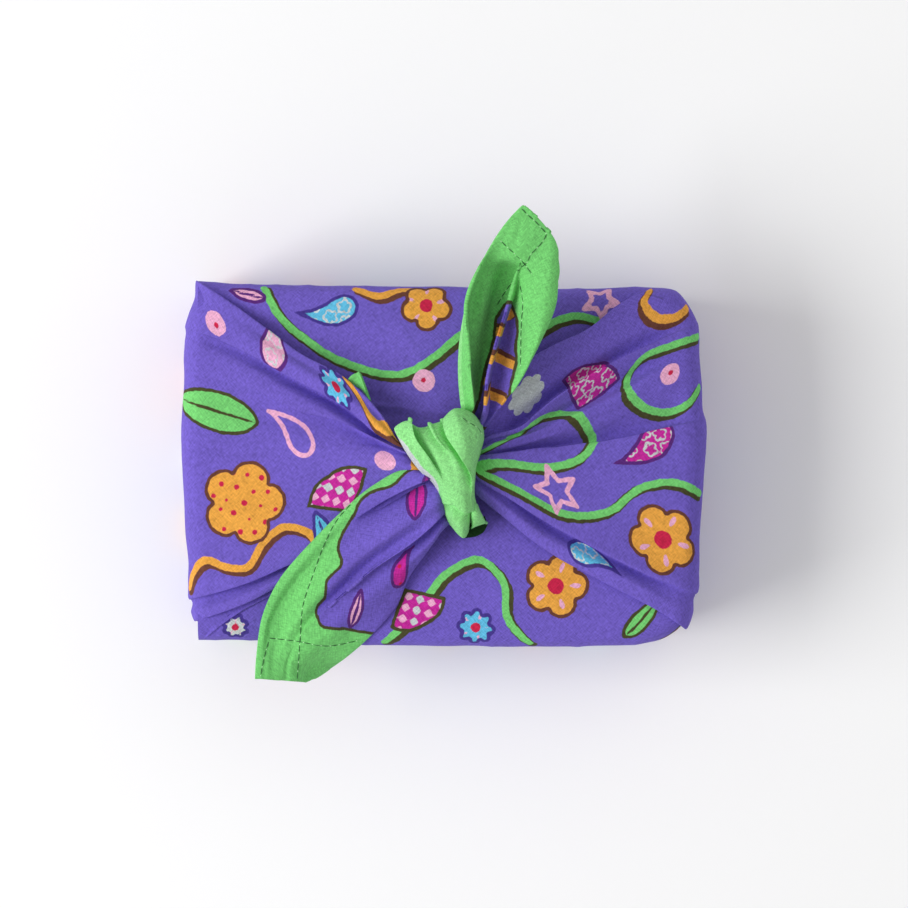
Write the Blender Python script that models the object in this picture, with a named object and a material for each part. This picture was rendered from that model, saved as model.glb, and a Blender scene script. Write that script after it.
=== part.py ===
"""Furoshiki wrap: one square cotton cloth folded round a soft box shape and tied on top.

The far and near corners of the cloth lie flat over the top as two flaps. The left and right
corners are gathered over them into pleated fans and tied in one knot with two free ends.
It is one solid: the filled body, both fans, the knot, its nub and the two ends are united.
Origin: middle of the bounding box at the surface it stands on. +X right, +Y far, +Z up.
"""
import bpy
import bmesh
import numpy as np

MM = 0.001                  # the tables below are in millimetres

# Driving sizes, mm
BODY_HEIGHT = 52.0          # flat top of the wrapped body above the surface
SHOULDER_RADIUS = 6.0       # roundness of the upper edges
FOOT_RADIUS = 2.0           # roundness of the lower edges
SIDE_TUCK = 1.2             # how far the sides draw in towards the foot
BODY_CENTRE = (0.0, -6.5)   # middle of the body's plan
BODY_HALF = (77.0, 54.5)    # half its length and half its width
CROWN = 1.0                 # soft rise of the top in its middle
BODY_HEART = (55.0, 34.0, 14.0)     # half length, half width and z of the body's inner core
FAN_BACKING = 0.4           # share of the way to that core that a fan's back lies inside
TAIL_THICKNESS = 1.8        # folded cloth of the free ends
KNOT_DEPTH = 3.7            # how high above the body's top the knot's underside lies
PLEAT_SLACK = 0.7           # roundness of the pleats, 1 for the roundest

# Fineness of the surfaces
OUTLINE_STEPS = 96          # points round the body
WALL_LEVELS = (11.0, 20.0, 29.0, 38.0)              # heights of the rings up the body's walls
SHOULDER_ANGLES = (0.0, 30.0, 60.0, 90.0)           # degrees round the body's upper edge
TOP_SHARES = (0.14, 0.28, 0.42, 0.56, 0.7, 0.84)    # rings over the top, towards its middle line
TOP_MIDDLE_LINE = 30.0      # half length of that line
# Inset and z of the steps up a fan's wall
FAN_WALL = ((2.0, 0.6), (0.4, 2.4), (0.0, 9.0), (0.0, 18.0), (0.0, 27.0), (0.0, 36.0))
FAN_SHOULDER_ANGLES = (0.0, 25.0, 50.0, 72.0)
FAN_STEPS = 14              # along each pleat, from the silhouette to the knot
PAST_SHOULDER = 2           # the first of those steps that lies on the top
STEPS_A_PLEAT = 3           # across, from one fold line to the next
KNOT_STEPS = 12
END_STEPS = 16

# Plan outline of the body, anticlockwise from the far left corner: x, y
OUTLINE = [
    (-72.0, 46.5), (-75.5, 38.0), (-76.3, 20.0), (-77.0, -3.0), (-76.6, -20.0), (-74.8, -46.0),
    (-71.0, -57.8), (-55.5, -59.3), (-25.0, -60.7), (11.0, -61.2), (45.0, -61.3), (66.0, -60.2),
    (73.0, -55.0), (75.6, -38.0), (76.2, -12.0), (76.8, 8.0), (75.8, 30.0), (73.2, 40.5), (66.5, 46.4),
    (33.5, 46.8), (0.0, 47.3), (-43.0, 47.8), (-62.0, 48.1),
]

# Soft dents and swellings of the top: x, y, reach along x, reach along y, rise
TOP_SWELLS = [
    (-2.0, 20.0, 26.0, 9.0, 1.6),       # far flap lifted where it meets the knot
    (-22.0, 36.0, 20.0, 6.0, -0.7),
    (38.0, 38.0, 14.0, 6.0, 0.6),
    (6.0, -38.0, 20.0, 12.0, 0.9),      # near flap over its folded hem
    (-12.0, -54.0, 26.0, 4.0, -0.5),
]

# Soft hollows and swellings of the walls, felt on the body and on the fans alike: place along
# the wall (x on the long walls, y on the short ones), z, reach along, reach up, swelling
LONG_WALL_SWELLS = [
    (-48.0, 30.0, 9.0, 30.0, 0.7), (-20.0, 22.0, 7.0, 26.0, -0.8), (4.0, 34.0, 10.0, 20.0, 0.8),
    (30.0, 20.0, 8.0, 28.0, -0.7), (54.0, 30.0, 9.0, 24.0, 0.6),
]
SHORT_WALL_SWELLS = [
    (34.0, 40.0, 4.0, 26.0, 0.7), (22.0, 30.0, 4.5, 24.0, -0.7), (8.0, 34.0, 6.0, 24.0, 0.7),
    (-8.0, 30.0, 5.0, 22.0, -0.6), (-24.0, 36.0, 6.0, 26.0, 0.7), (-42.0, 30.0, 5.0, 28.0, -0.7),
]

# Pleats of the fans, from the far edge to the near edge. Each row is one fold line, given by
# four stations of x, y and rise above the body: at the side, one third in, two thirds in, knot.
LEFT_PLEATS = [
    ("far edge",      (-74.0, 49.0, -1.5), (-54.5, 35.5, 1.2), (-34.0, 22.5, 3.0), (-13.5, 1.0, 9.0)),
    ("roll",          (-74.5, 45.5, 0.0), (-55.5, 33.5, 2.6), (-35.0, 20.0, 5.2), (-13.0, -0.8, 10.6)),
    ("roll crest",    (-77.0, 35.5, 1.0), (-58.0, 26.0, 2.8), (-36.5, 15.5, 6.5), (-12.4, -2.4, 11.5)),
    ("roll crease",   (-77.0, 33.0, -0.9), (-59.0, 24.5, 0.6), (-37.5, 14.0, 2.4), (-11.6, -4.0, 9.6)),
    ("shelf",         (-77.2, 30.5, 0.7), (-60.0, 20.0, 1.8), (-37.0, 9.5, 3.6), (-10.7, -5.5, 10.0)),
    ("small crease",  (-78.0, 21.5, 0.4), (-58.5, 13.0, 1.8), (-29.5, 6.0, 3.0), (-9.8, -7.0, 9.6)),
    ("broad fold",    (-77.6, 1.0, 0.6), (-57.5, -2.5, 2.0), (-28.0, -5.5, 4.0), (-8.5, -8.6, 11.0)),
    ("soft crease",   (-77.8, -20.0, -0.4), (-58.0, -17.5, 1.4), (-29.5, -15.0, 3.4), (-7.0, -10.2, 9.8)),
    ("low fold",      (-77.0, -35.0, 0.5), (-57.5, -30.5, 1.8), (-32.5, -23.0, 3.6), (-5.4, -11.7, 9.8)),
    ("low crease",    (-76.0, -48.5, -1.0), (-62.0, -44.5, 0.3), (-43.0, -35.0, 1.2), (-3.8, -13.0, 8.4)),
    ("tube",          (-75.2, -52.5, 0.2), (-61.0, -47.5, 2.0), (-43.0, -38.5, 2.6), (-2.4, -14.4, 8.5)),
    ("near edge",     (-73.0, -58.0, -0.6), (-59.0, -51.0, 0.8), (-42.0, -42.5, 0.8), (-1.0, -16.0, 7.0)),
]
RIGHT_PLEATS = [
    ("far edge",      (62.5, 47.0, -1.0), (47.0, 36.5, 1.5), (30.5, 28.5, 3.0), (12.0, 10.0, 8.0)),
    ("facet",         (68.5, 45.5, 0.0), (53.0, 37.5, 2.2), (35.0, 28.0, 3.8), (12.6, 8.0, 9.0)),
    ("under the lip", (75.0, 37.5, 0.0), (55.5, 27.5, 0.8), (36.0, 16.5, 1.6), (13.2, 6.0, 8.4)),
    ("lip",           (76.0, 35.0, 1.0), (56.0, 25.5, 3.6), (37.0, 14.0, 6.0), (13.7, 4.0, 10.6)),
    ("second crease", (76.5, 29.5, -0.3), (59.0, 21.5, 1.6), (37.0, 10.0, 3.0), (14.0, 2.0, 9.2)),
    ("second crest",  (76.5, 26.0, 0.4), (59.5, 18.5, 2.8), (37.5, 7.5, 4.6), (14.2, 0.0, 10.0)),
    ("third crease",  (77.5, 10.0, 0.0), (62.0, 5.0, 1.2), (38.0, 1.0, 2.4), (14.2, -2.2, 9.2)),
    ("third crest",   (77.6, 6.0, 0.6), (62.0, 3.0, 2.4), (38.0, -2.0, 4.4), (14.0, -4.4, 10.4)),
    ("broad fold",    (77.8, -11.0, 0.4), (59.0, -10.5, 2.0), (35.0, -9.5, 4.0), (13.5, -7.5, 11.0)),
    ("soft crease",   (77.5, -30.5, 0.0), (59.0, -27.5, 1.2), (35.0, -20.0, 2.6), (12.6, -10.4, 9.2)),
    ("low crease",    (76.0, -44.0, -1.0), (62.0, -38.5, 0.4), (38.0, -27.5, 1.2), (11.6, -13.2, 8.4)),
    ("tube",          (75.2, -48.5, 0.2), (61.5, -42.5, 2.0), (38.0, -31.5, 2.6), (10.6, -15.4, 8.5)),
    ("near edge",     (73.5, -56.0, -0.6), (59.0, -48.0, 0.8), (37.0, -36.0, 0.8), (9.4, -17.5, 7.0)),
]

# Pleats of the band that wraps over the knot, from left to right. Stations of x, y and rise:
# far foot, far shoulder, top, near foot.
KNOT_PLEATS = [
    ("left edge",     (-13.5, 5.0, 9.0), (-13.0, 2.0, 14.0), (-7.0, -6.0, 17.0), (-1.6, -16.9, 9.0)),
    ("first crest",   (-11.5, 6.5, 10.0), (-10.0, 3.5, 17.5), (-3.5, -5.5, 20.5), (2.0, -17.0, 10.0)),
    ("first crease",  (-9.0, 6.5, 9.0), (-7.0, 1.5, 16.0), (-1.5, -5.5, 19.0), (3.5, -17.0, 10.0)),
    ("second crest",  (-6.0, 7.0, 10.0), (-3.5, 2.0, 19.5), (1.0, -5.5, 22.5), (5.0, -16.5, 11.0)),
    ("second crease", (-4.0, 7.0, 9.0), (-1.0, 1.5, 18.0), (2.5, -5.5, 21.0), (6.0, -15.5, 10.0)),
    ("third crest",   (-1.0, 8.0, 11.0), (2.0, 3.0, 22.5), (5.0, -5.0, 24.0), (7.5, -14.5, 11.0)),
    ("dome",          (4.5, 11.5, 10.0), (7.0, 6.0, 22.0), (8.0, -2.0, 23.0), (9.0, -13.5, 10.0)),
    ("right edge",    (10.5, 9.5, 8.0), (12.0, 3.5, 14.0), (11.5, -2.5, 14.0), (10.0, -12.5, 8.0)),
]

# Nub of cloth below the knot: centre x, y, rise; reach along x, y, z; turn about Z in degrees
NUB_LOBES = [
    ((5.5, -22.0, 8.0), (4.0, 8.0, 6.5), -12.0),
    ((9.5, -20.0, 8.0), (3.8, 6.5, 6.0), 20.0),
]

# Free ends, across from the left edge to the right edge. Stations of x, y and rise run from
# the knot to the tip.
FAR_END = [
    ("left edge",     (8.0, 5.5, 14.0), (5.5, 23.5, 19.0), (7.0, 40.0, 24.0),
                      (13.0, 58.0, 27.0), (18.5, 66.0, 28.5), (21.8, 71.0, 29.0)),
    ("left crease",   (9.0, 6.5, 12.0), (11.0, 23.5, 11.0), (12.0, 40.0, 12.5),
                      (17.0, 58.0, 19.0), (20.8, 65.8, 25.0), (22.7, 71.3, 28.4)),
    ("rolled strip",  (10.0, 7.0, 14.0), (13.5, 23.5, 16.0), (17.0, 40.0, 17.0),
                      (21.0, 56.5, 20.0), (23.0, 65.6, 24.0), (23.6, 71.5, 28.0)),
    ("right crease",  (10.5, 6.5, 12.0), (18.0, 22.5, 12.0), (23.5, 40.0, 13.0),
                      (27.0, 56.0, 18.5), (25.6, 65.4, 24.5), (24.5, 71.3, 28.2)),
    ("right edge",    (12.0, 6.0, 14.0), (24.0, 21.5, 20.0), (34.0, 43.0, 25.0),
                      (34.5, 57.0, 27.0), (29.0, 65.8, 28.5), (25.4, 71.0, 29.0)),
]
NEAR_END = [
    ("left edge",     (-2.0, -12.0, 12.0), (-20.5, -12.5, 9.5), (-37.0, -26.5, 7.0),
                      (-49.5, -41.5, 5.5), (-55.5, -59.5, 3.0), (-56.5, -70.5, 1.5)),
    ("first crease",  (-1.5, -14.5, 10.0), (-18.5, -18.5, 6.5), (-33.0, -31.5, 5.0),
                      (-46.0, -45.0, 4.5), (-52.5, -60.0, 2.6), (-53.0, -70.5, 1.2)),
    ("fold",          (-0.5, -17.0, 13.0), (-16.0, -21.5, 10.0), (-30.0, -35.0, 7.5),
                      (-41.0, -49.0, 6.0), (-48.5, -61.0, 3.4), (-50.0, -71.0, 1.4)),
    ("second crease", (0.0, -20.0, 11.0), (-13.5, -27.5, 7.0), (-25.0, -39.5, 5.5),
                      (-36.5, -53.0, 4.8), (-43.5, -62.5, 2.8), (-46.5, -71.0, 1.2)),
    ("second fold",   (0.5, -22.5, 12.0), (-11.5, -34.0, 8.5), (-19.0, -44.5, 6.5),
                      (-30.5, -57.0, 5.4), (-38.0, -64.5, 3.2), (-44.0, -71.5, 1.4)),
    ("right edge",    (1.0, -25.0, 9.0), (-10.0, -39.0, 6.5), (-15.0, -50.0, 5.0),
                      (-25.5, -61.0, 4.0), (-33.0, -67.0, 2.6), (-41.5, -71.5, 1.2)),
]


def clear_scene():
    for item in list(bpy.data.objects):
        bpy.data.objects.remove(item, do_unlink=True)


def new_collection(name):
    collection = bpy.data.collections.new(name)
    bpy.context.scene.collection.children.link(collection)
    return collection


def cotton(name, color, roughness):
    material = bpy.data.materials.new(name)
    material.use_nodes = True
    shader = material.node_tree.nodes["Principled BSDF"]
    shader.inputs["Base Color"].default_value = (*color, 1.0)
    shader.inputs["Roughness"].default_value = roughness
    shader.inputs["Metallic"].default_value = 0.0
    return material


def spline(knots, count, closed=False, slack=1.0):
    """Cardinal curve through the rows of knots, read at count even steps.

    A slack of 1 makes it a Catmull-Rom curve, and less keeps it closer to straight runs.
    """
    knots = np.asarray(knots, float)
    if closed:
        padded = np.concatenate([knots[-1:], knots, knots[:2]])
        place = np.linspace(0.0, len(knots), count, endpoint=False)
        last = len(knots) - 1
    else:
        padded = np.concatenate([[2 * knots[0] - knots[1]], knots, [2 * knots[-1] - knots[-2]]])
        place = np.linspace(0.0, len(knots) - 1.0, count)
        last = len(knots) - 2
    first = np.minimum(place.astype(int), last)
    t = (place - first).reshape((-1,) + (1,) * (knots.ndim - 1))
    before, start, end, after = (padded[first + step] for step in range(4))
    leave, arrive = 0.5 * slack * (end - before), 0.5 * slack * (after - start)
    square, cube = t * t, t * t * t
    return ((2 * cube - 3 * square + 1) * start + (cube - 2 * square + t) * leave
            + (3 * square - 2 * cube) * end + (cube - square) * arrive)


def pleat_grid(pleats, along):
    """Surface through the pleat lines, with that many steps along each line."""
    stations = np.array([row[1:] for row in pleats], float)
    across = STEPS_A_PLEAT * (len(pleats) - 1) + 1
    lines = spline(stations.transpose(1, 0, 2), along)
    return spline(lines.transpose(1, 0, 2), across, slack=PLEAT_SLACK)


def add_rise(grid):
    """Turn a grid of x, y and rise into points, the rise counted from the body's top."""
    return grid + np.array([0.0, 0.0, BODY_HEIGHT])


def top_rise(x, y):
    """Height of the top over its flat level: a crown and the swells of the table."""
    from_centre_x = (x - BODY_CENTRE[0]) / BODY_HALF[0]
    from_centre_y = (y - BODY_CENTRE[1]) / BODY_HALF[1]
    rise = CROWN * np.clip(1 - from_centre_x ** 2, 0, 1) * np.clip(1 - from_centre_y ** 2, 0, 1)
    for at_x, at_y, reach_x, reach_y, height in TOP_SWELLS:
        rise = rise + height * np.exp(-((x - at_x) / reach_x) ** 2 - ((y - at_y) / reach_y) ** 2)
    return rise


def wall_swell(along, z, table):
    swell = np.zeros(len(along))
    for at, level, reach_along, reach_up, amount in table:
        swell += amount * np.exp(-((along - at) / reach_along) ** 2 - ((z - level) / reach_up) ** 2)
    return swell


def tucked(plan, inset, z):
    """Draw plan points of the walls in towards the body's centre, or out by the walls' swells."""
    from_centre = (plan - np.array(BODY_CENTRE)) / np.array(BODY_HALF)
    out_x = inset - wall_swell(plan[:, 1], z, SHORT_WALL_SWELLS) * np.abs(from_centre[:, 0]) ** 6
    out_y = inset - wall_swell(plan[:, 0], z, LONG_WALL_SWELLS) * np.abs(from_centre[:, 1]) ** 6
    return plan - from_centre * np.column_stack([out_x, out_y])


def mesh_object(name, points, faces, collection):
    mesh = bpy.data.meshes.new(name)
    mesh.from_pydata([tuple(point) for point in points * MM], [], faces)
    work = bmesh.new()
    work.from_mesh(mesh)
    bmesh.ops.remove_doubles(work, verts=work.verts, dist=0.00002)
    bmesh.ops.recalc_face_normals(work, faces=work.faces)
    work.to_mesh(mesh)
    work.free()
    mesh.shade_smooth()
    item = bpy.data.objects.new(name, mesh)
    collection.objects.link(item)
    return item


def grid_faces(rows, columns, start=0):
    """Quads of a rows by columns grid of points that begins at index start."""
    row, column = np.meshgrid(np.arange(rows - 1), np.arange(columns - 1), indexing="ij")
    corner = (start + row * columns + column).ravel()
    return np.stack([corner, corner + 1, corner + columns + 1, corner + columns], axis=1).tolist()


def closed_slab(name, outer, inner, collection):
    """One closed solid between two grids of the same size."""
    rows, columns = outer.shape[:2]
    count = rows * columns
    points = np.concatenate([outer.reshape(-1, 3), inner.reshape(-1, 3)])
    faces = grid_faces(rows, columns) + [face[::-1] for face in grid_faces(rows, columns, count)]
    index = np.arange(count).reshape(rows, columns)
    border = np.concatenate([index[0, :-1], index[:-1, -1], index[-1, :0:-1], index[:0:-1, 0]])
    after = np.roll(border, -1)
    faces += [[b, a, a + count, b + count] for a, b in zip(border.tolist(), after.tolist())]
    return mesh_object(name, points, faces, collection)


def straight_inset(z):
    """How far a wall stands in from the outline at height z."""
    return SIDE_TUCK * (1 - z / BODY_HEIGHT)


def shoulder_inset(angle):
    return SHOULDER_RADIUS * (1 - np.cos(angle))


def shoulder_height(angle):
    return BODY_HEIGHT - SHOULDER_RADIUS * (1 - np.sin(angle))


def wrapped_body(collection):
    """The filled body: rings from the foot up the walls, over the shoulder and in to the middle."""
    outline = spline(OUTLINE, OUTLINE_STEPS, closed=True)
    levels = [(SIDE_TUCK + FOOT_RADIUS, 0.0), (SIDE_TUCK + 0.3 * FOOT_RADIUS, 0.3 * FOOT_RADIUS)]
    levels += [(straight_inset(z), z) for z in (FOOT_RADIUS, *WALL_LEVELS)]
    levels += [(shoulder_inset(a), shoulder_height(a)) for a in np.radians(SHOULDER_ANGLES)]
    rings = [np.column_stack([tucked(outline, inset, z), np.full(OUTLINE_STEPS, z)])
             for inset, z in levels]
    rim = rings[-1][:, :2]
    middle = np.full_like(rim, BODY_CENTRE[1])
    middle[:, 0] = np.clip(rim[:, 0], -TOP_MIDDLE_LINE, TOP_MIDDLE_LINE)
    for share in TOP_SHARES:
        plan = rim + (middle - rim) * share
        height = BODY_HEIGHT + top_rise(plan[:, 0], plan[:, 1]) * min(1.0, share * 3.0)
        rings.append(np.column_stack([plan, height]))
    faces = []
    for low in range(0, (len(rings) - 1) * OUTLINE_STEPS, OUTLINE_STEPS):
        for step in range(OUTLINE_STEPS):
            here, following = low + step, low + (step + 1) % OUTLINE_STEPS
            faces.append([here, following, following + OUTLINE_STEPS, here + OUTLINE_STEPS])
    foot = list(range(OUTLINE_STEPS))
    top = [step + (len(rings) - 1) * OUTLINE_STEPS for step in foot]
    faces += [foot[::-1], top]
    return mesh_object("wrap_cloth", np.concatenate(rings), faces, collection)


def round_the_shoulder(grid):
    """Points of a fan: up the side from the foot, round the shoulder, then in to the knot.

    The first station of each pleat lies on the silhouette. The relief it has there fades
    towards the foot.
    """
    start, first_on_top = grid[:, 0], grid[:, PAST_SHOULDER]
    outward = np.array([np.sign(start[0, 0]), 0.0])
    columns = []
    for inset, z in FAN_WALL:
        plan = tucked(start[:, :2], inset + straight_inset(z), z)
        plan += (start[:, 2] * z / BODY_HEIGHT)[:, None] * outward
        columns.append(np.column_stack([plan, np.full(len(plan), z)]))
    inland = first_on_top[:, :2] - start[:, :2]
    reach = np.linalg.norm(inland, axis=1)
    for angle in np.radians(FAN_SHOULDER_ANGLES):
        share = shoulder_inset(angle) / reach
        rise = start[:, 2] * (1 - share) + first_on_top[:, 2] * share
        height = shoulder_height(angle) + rise * np.sin(angle)
        plan = tucked(start[:, :2], 0.0, height) + inland * share[:, None]
        plan += (rise * np.cos(angle))[:, None] * outward
        columns.append(np.column_stack([plan, height]))
    return np.concatenate([np.stack(columns, axis=1), add_rise(grid[:, PAST_SHOULDER:])], axis=1)


def gathered_fan(name, pleats, collection):
    """One gathered corner of the cloth: its outer surface, backed well inside the body."""
    outer = round_the_shoulder(pleat_grid(pleats, FAN_STEPS))
    centre = np.array([*BODY_CENTRE, BODY_HEART[2]])
    half = np.array([BODY_HEART[0], BODY_HEART[1], 0.0])
    heart = np.clip(outer, centre - half, centre + half)
    return closed_slab(name, outer, outer + (heart - outer) * FAN_BACKING, collection)


def knot_band(collection):
    outer = add_rise(pleat_grid(KNOT_PLEATS, KNOT_STEPS))
    inner = outer.copy()
    inner[..., 2] = BODY_HEIGHT + KNOT_DEPTH
    return closed_slab("knot_band", outer, inner, collection)


def nub_lobe(number, centre, reach, turn, collection):
    mesh = bpy.data.meshes.new("nub_lobe")
    work = bmesh.new()
    bmesh.ops.create_uvsphere(work, u_segments=14, v_segments=9, radius=MM)
    work.to_mesh(mesh)
    work.free()
    item = bpy.data.objects.new("nub_lobe_%d" % number, mesh)
    collection.objects.link(item)
    item.location = (centre[0] * MM, centre[1] * MM, (BODY_HEIGHT + centre[2]) * MM)
    item.scale = reach
    item.rotation_euler = (0.0, 0.0, np.radians(turn))
    return item


def free_end(name, pleats, collection):
    grid = add_rise(pleat_grid(pleats, END_STEPS))
    half = np.array([0.0, 0.0, TAIL_THICKNESS / 2])
    return closed_slab(name, grid + half, grid - half, collection)


def unite(target, pieces):
    for piece in pieces:
        piece.hide_render = True
        piece.display_type = "WIRE"
        join = target.modifiers.new("join " + piece.name, "BOOLEAN")
        join.operation = "UNION"
        join.solver = "EXACT"
        join.object = piece


def build():
    clear_scene()
    parts = new_collection("furoshiki_wrap")
    helpers = new_collection("pieces_to_unite")
    body = wrapped_body(parts)
    pieces = [
        gathered_fan("left_fan", LEFT_PLEATS, helpers),
        gathered_fan("right_fan", RIGHT_PLEATS, helpers),
        knot_band(helpers),
        free_end("far_end", FAR_END, helpers),
        free_end("near_end", NEAR_END, helpers),
    ]
    for number, (centre, reach, turn) in enumerate(NUB_LOBES, start=1):
        pieces.append(nub_lobe(number, centre, reach, turn, helpers))
    unite(body, pieces)
    body.data.materials.append(cotton("printed cotton", (0.19, 0.12, 0.56), 0.85))


build()
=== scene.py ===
# Furoshiki wrap: the cloth's folds, print, weave and stitches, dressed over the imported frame.
# Tables are in millimetres; everything is put into the scene in metres.
import bpy
import numpy as np
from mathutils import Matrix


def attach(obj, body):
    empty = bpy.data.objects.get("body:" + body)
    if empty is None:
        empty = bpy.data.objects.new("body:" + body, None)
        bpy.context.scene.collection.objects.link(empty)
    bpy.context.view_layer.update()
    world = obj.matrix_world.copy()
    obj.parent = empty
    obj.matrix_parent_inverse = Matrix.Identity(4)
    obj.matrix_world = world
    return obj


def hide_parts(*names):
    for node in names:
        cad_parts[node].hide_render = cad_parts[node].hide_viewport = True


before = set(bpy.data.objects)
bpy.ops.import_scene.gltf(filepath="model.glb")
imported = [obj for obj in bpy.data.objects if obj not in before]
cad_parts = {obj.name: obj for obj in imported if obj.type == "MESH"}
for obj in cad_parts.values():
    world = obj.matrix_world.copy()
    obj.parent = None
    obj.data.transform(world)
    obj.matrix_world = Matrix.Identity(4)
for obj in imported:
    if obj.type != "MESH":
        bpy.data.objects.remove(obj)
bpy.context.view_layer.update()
print("frame loaded")

mm = 0.001
bodyTop = 52.0                          # level of the wrapped body's flat top
bodyMiddle = np.array([0.0, -6.5])      # in plan
bodyHalf = np.array([77.0, 54.5])       # half its length and width
farAway = 50.0                          # print distance where nothing is printed
smallChord, smallLength, smallSquare = 1e-6, 1e-9, 1e-12    # these keep divisions from zero

camera = {
    "middleX": 3.2, "middleY": -3.2,    # where the view's centre falls
    "height": 1650.0,                   # above the level where the tables were read
    "level": 50.0,
    "lens": 218.0,
}
viewMiddle = np.array([camera["middleX"], camera["middleY"]])


def linear(red, green, blue):
    # screen tone 0 to 255 to linear light: ((c + 0.055) / 1.055) ** 2.4
    tone = np.array([red, green, blue]) / 255.0
    return tuple(np.where(tone > 0.04, ((tone + 0.055) / 1.055) ** 2.4, tone / 12.92)) + (1.0,)


ink = {
    "violet": linear(120, 100, 206), "green": linear(126, 220, 122), "olive": linear(78, 76, 46),
    "orange": linear(248, 176, 76), "brown": linear(112, 68, 56), "magenta": linear(210, 46, 164),
    "plum": linear(96, 46, 130), "red": linear(214, 40, 80), "sky": linear(104, 200, 240),
    "rose": linear(250, 184, 218), "pale": linear(214, 220, 222), "navy": linear(76, 60, 150),
    "reverse": linear(152, 236, 146),       # the green border's other face, a little paler; over the whole knot it is also painted highlight for the knot's lit top
    "hollow": linear(22, 56, 24),           # painted shade: near black green that stands in for the shadow inside the knot's tube
}


def lengthStep(points, axis):
    # running length along an axis: sum of the distances between neighbours, from 0
    step = np.linalg.norm(np.diff(points, axis=axis), axis=-1)
    start = np.zeros_like(np.take(step, [0], axis=axis))
    return np.concatenate([start, np.cumsum(step, axis=axis)], axis=axis)


def chordCurve(knots, counts, ease):
    # Hermite curve through the knots: h00 a + h10 g m + h01 b + h11 g n, where g is the chord
    # and the slopes m and n are the neighbours' slopes weighed by chord, times the knot's ease
    gap = np.linalg.norm(np.diff(knots, axis=0), axis=-1)[..., None] + smallChord
    slope = np.diff(knots, axis=0) / gap
    inner = (slope[:-1] * gap[1:] + slope[1:] * gap[:-1]) / (gap[:-1] + gap[1:])
    tangent = np.concatenate([slope[:1], inner, slope[-1:]])
    tangent = tangent * np.reshape(ease, (-1,) + (1,) * (knots.ndim - 1))
    which = np.append(np.repeat(np.arange(len(counts)), counts), len(counts) - 1)
    t = np.append(np.concatenate([np.arange(count) / count for count in counts]), 1.0)
    t = t.reshape((-1,) + (1,) * (knots.ndim - 1))
    t2, t3 = t * t, t * t * t
    return ((2 * t3 - 3 * t2 + 1) * knots[which] + (t3 - 2 * t2 + t) * gap[which] * tangent[which]
            + (3 * t2 - 2 * t3) * knots[which + 1] + (t3 - t2) * gap[which] * tangent[which + 1])


def stepsFor(knots, pitch, least=2):
    # steps in each gap: its longest chord over the pitch, rounded up
    chord = np.linalg.norm(np.diff(knots, axis=0), axis=-1)
    chord = chord.reshape(len(chord), -1).max(axis=1)
    return np.maximum(least, np.ceil(chord / pitch)).astype(int)


lattice = {"cells": 61, "shift": 700}       # cells before the noise repeats; keeps their numbers positive


def noise(u, v, cellU, cellV, seed):
    # value noise from -1 to 1: random lattice heights blended by 6t^5 - 15t^4 + 10t^3
    cells = lattice["cells"]
    heights = np.random.default_rng(seed).uniform(-1, 1, (cells, cells))
    a, b = u / cellU + lattice["shift"], v / cellV + lattice["shift"]
    i, j = np.floor(a).astype(int), np.floor(b).astype(int)
    s, t = a - i, b - j
    s, t = s ** 3 * (s * (6 * s - 15) + 10), t ** 3 * (t * (6 * t - 15) + 10)
    i, j, iNext, jNext = i % cells, j % cells, (i + 1) % cells, (j + 1) % cells
    near = heights[i, j] * (1 - s) + heights[iNext, j] * s
    far = heights[i, jNext] * (1 - s) + heights[iNext, jNext] * s
    return near * (1 - t) + far * t


def smooth(value, low, high):
    # 3t^2 - 2t^3 with t running from 0 at low to 1 at high
    t = np.clip((value - low) / (high - low), 0, 1)
    return t * t * (3 - 2 * t)


def gridNormals(grid):
    # unit cross product of the grid's two directions
    normal = np.cross(np.gradient(grid, axis=0), np.gradient(grid, axis=1))
    return normal / (np.linalg.norm(normal, axis=-1, keepdims=True) + smallLength)


def viewShare(points):
    # share of its distance from the view's middle that a point keeps: 1 - (z - level) / height
    return 1 - (points[..., 2:] - camera["level"]) / camera["height"]


def seenFromAbove(points):
    # tables are read at one level, so a higher point moves towards the view's middle by its share
    plan = viewMiddle + (points[..., :2] - viewMiddle) * viewShare(points)
    return np.concatenate([plan, points[..., 2:]], axis=-1)


def asRead(points):
    # the plan position at which the view from above shows a point
    return viewMiddle + (points[..., :2] - viewMiddle) / viewShare(points)


def pathDistance(points, path):
    # distance to an open line: nearest of its segments
    best = np.full(len(points), np.inf)
    for (ax, ay), (bx, by) in zip(path[:-1], path[1:]):
        dx, dy = points[:, 0] - ax, points[:, 1] - ay
        ex, ey = bx - ax, by - ay
        t = np.clip((dx * ex + dy * ey) / (ex * ex + ey * ey + smallSquare), 0, 1)
        best = np.minimum(best, (dx - t * ex) ** 2 + (dy - t * ey) ** 2)
    return np.sqrt(best)


def loopDistance(points, loop):
    # signed distance to a closed line: negative where crossings to the right are odd
    closed = np.concatenate([loop, loop[:1]])
    x, y = points.T
    inside = np.zeros(len(points), bool)
    for (ax, ay), (bx, by) in zip(closed[:-1], closed[1:]):
        if ay != by:
            crosses = (ay > y) != (by > y)
            inside ^= crosses & (x - ax < (y - ay) * (bx - ax) / (by - ay))
    return pathDistance(points, closed) * np.where(inside, -1, 1)


def softLine(knots, pitch=1.0):
    # smooth line through a few points of the plan
    knots = np.asarray(knots, float)
    return chordCurve(knots, stepsFor(knots, pitch, 1), np.ones(len(knots)))


# the printed pattern


def polar(a, r):
    # x = r cos a, y = r sin a
    return np.column_stack([r * np.cos(a), r * np.sin(a)])


def petalShape(petals, inner, swell, power, count):
    # r = inner + swell |cos(n a / 2)| ** power
    a = np.linspace(0, 2 * np.pi, count, endpoint=False)
    return polar(a, inner + swell * np.abs(np.cos(petals * a / 2)) ** power)


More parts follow.
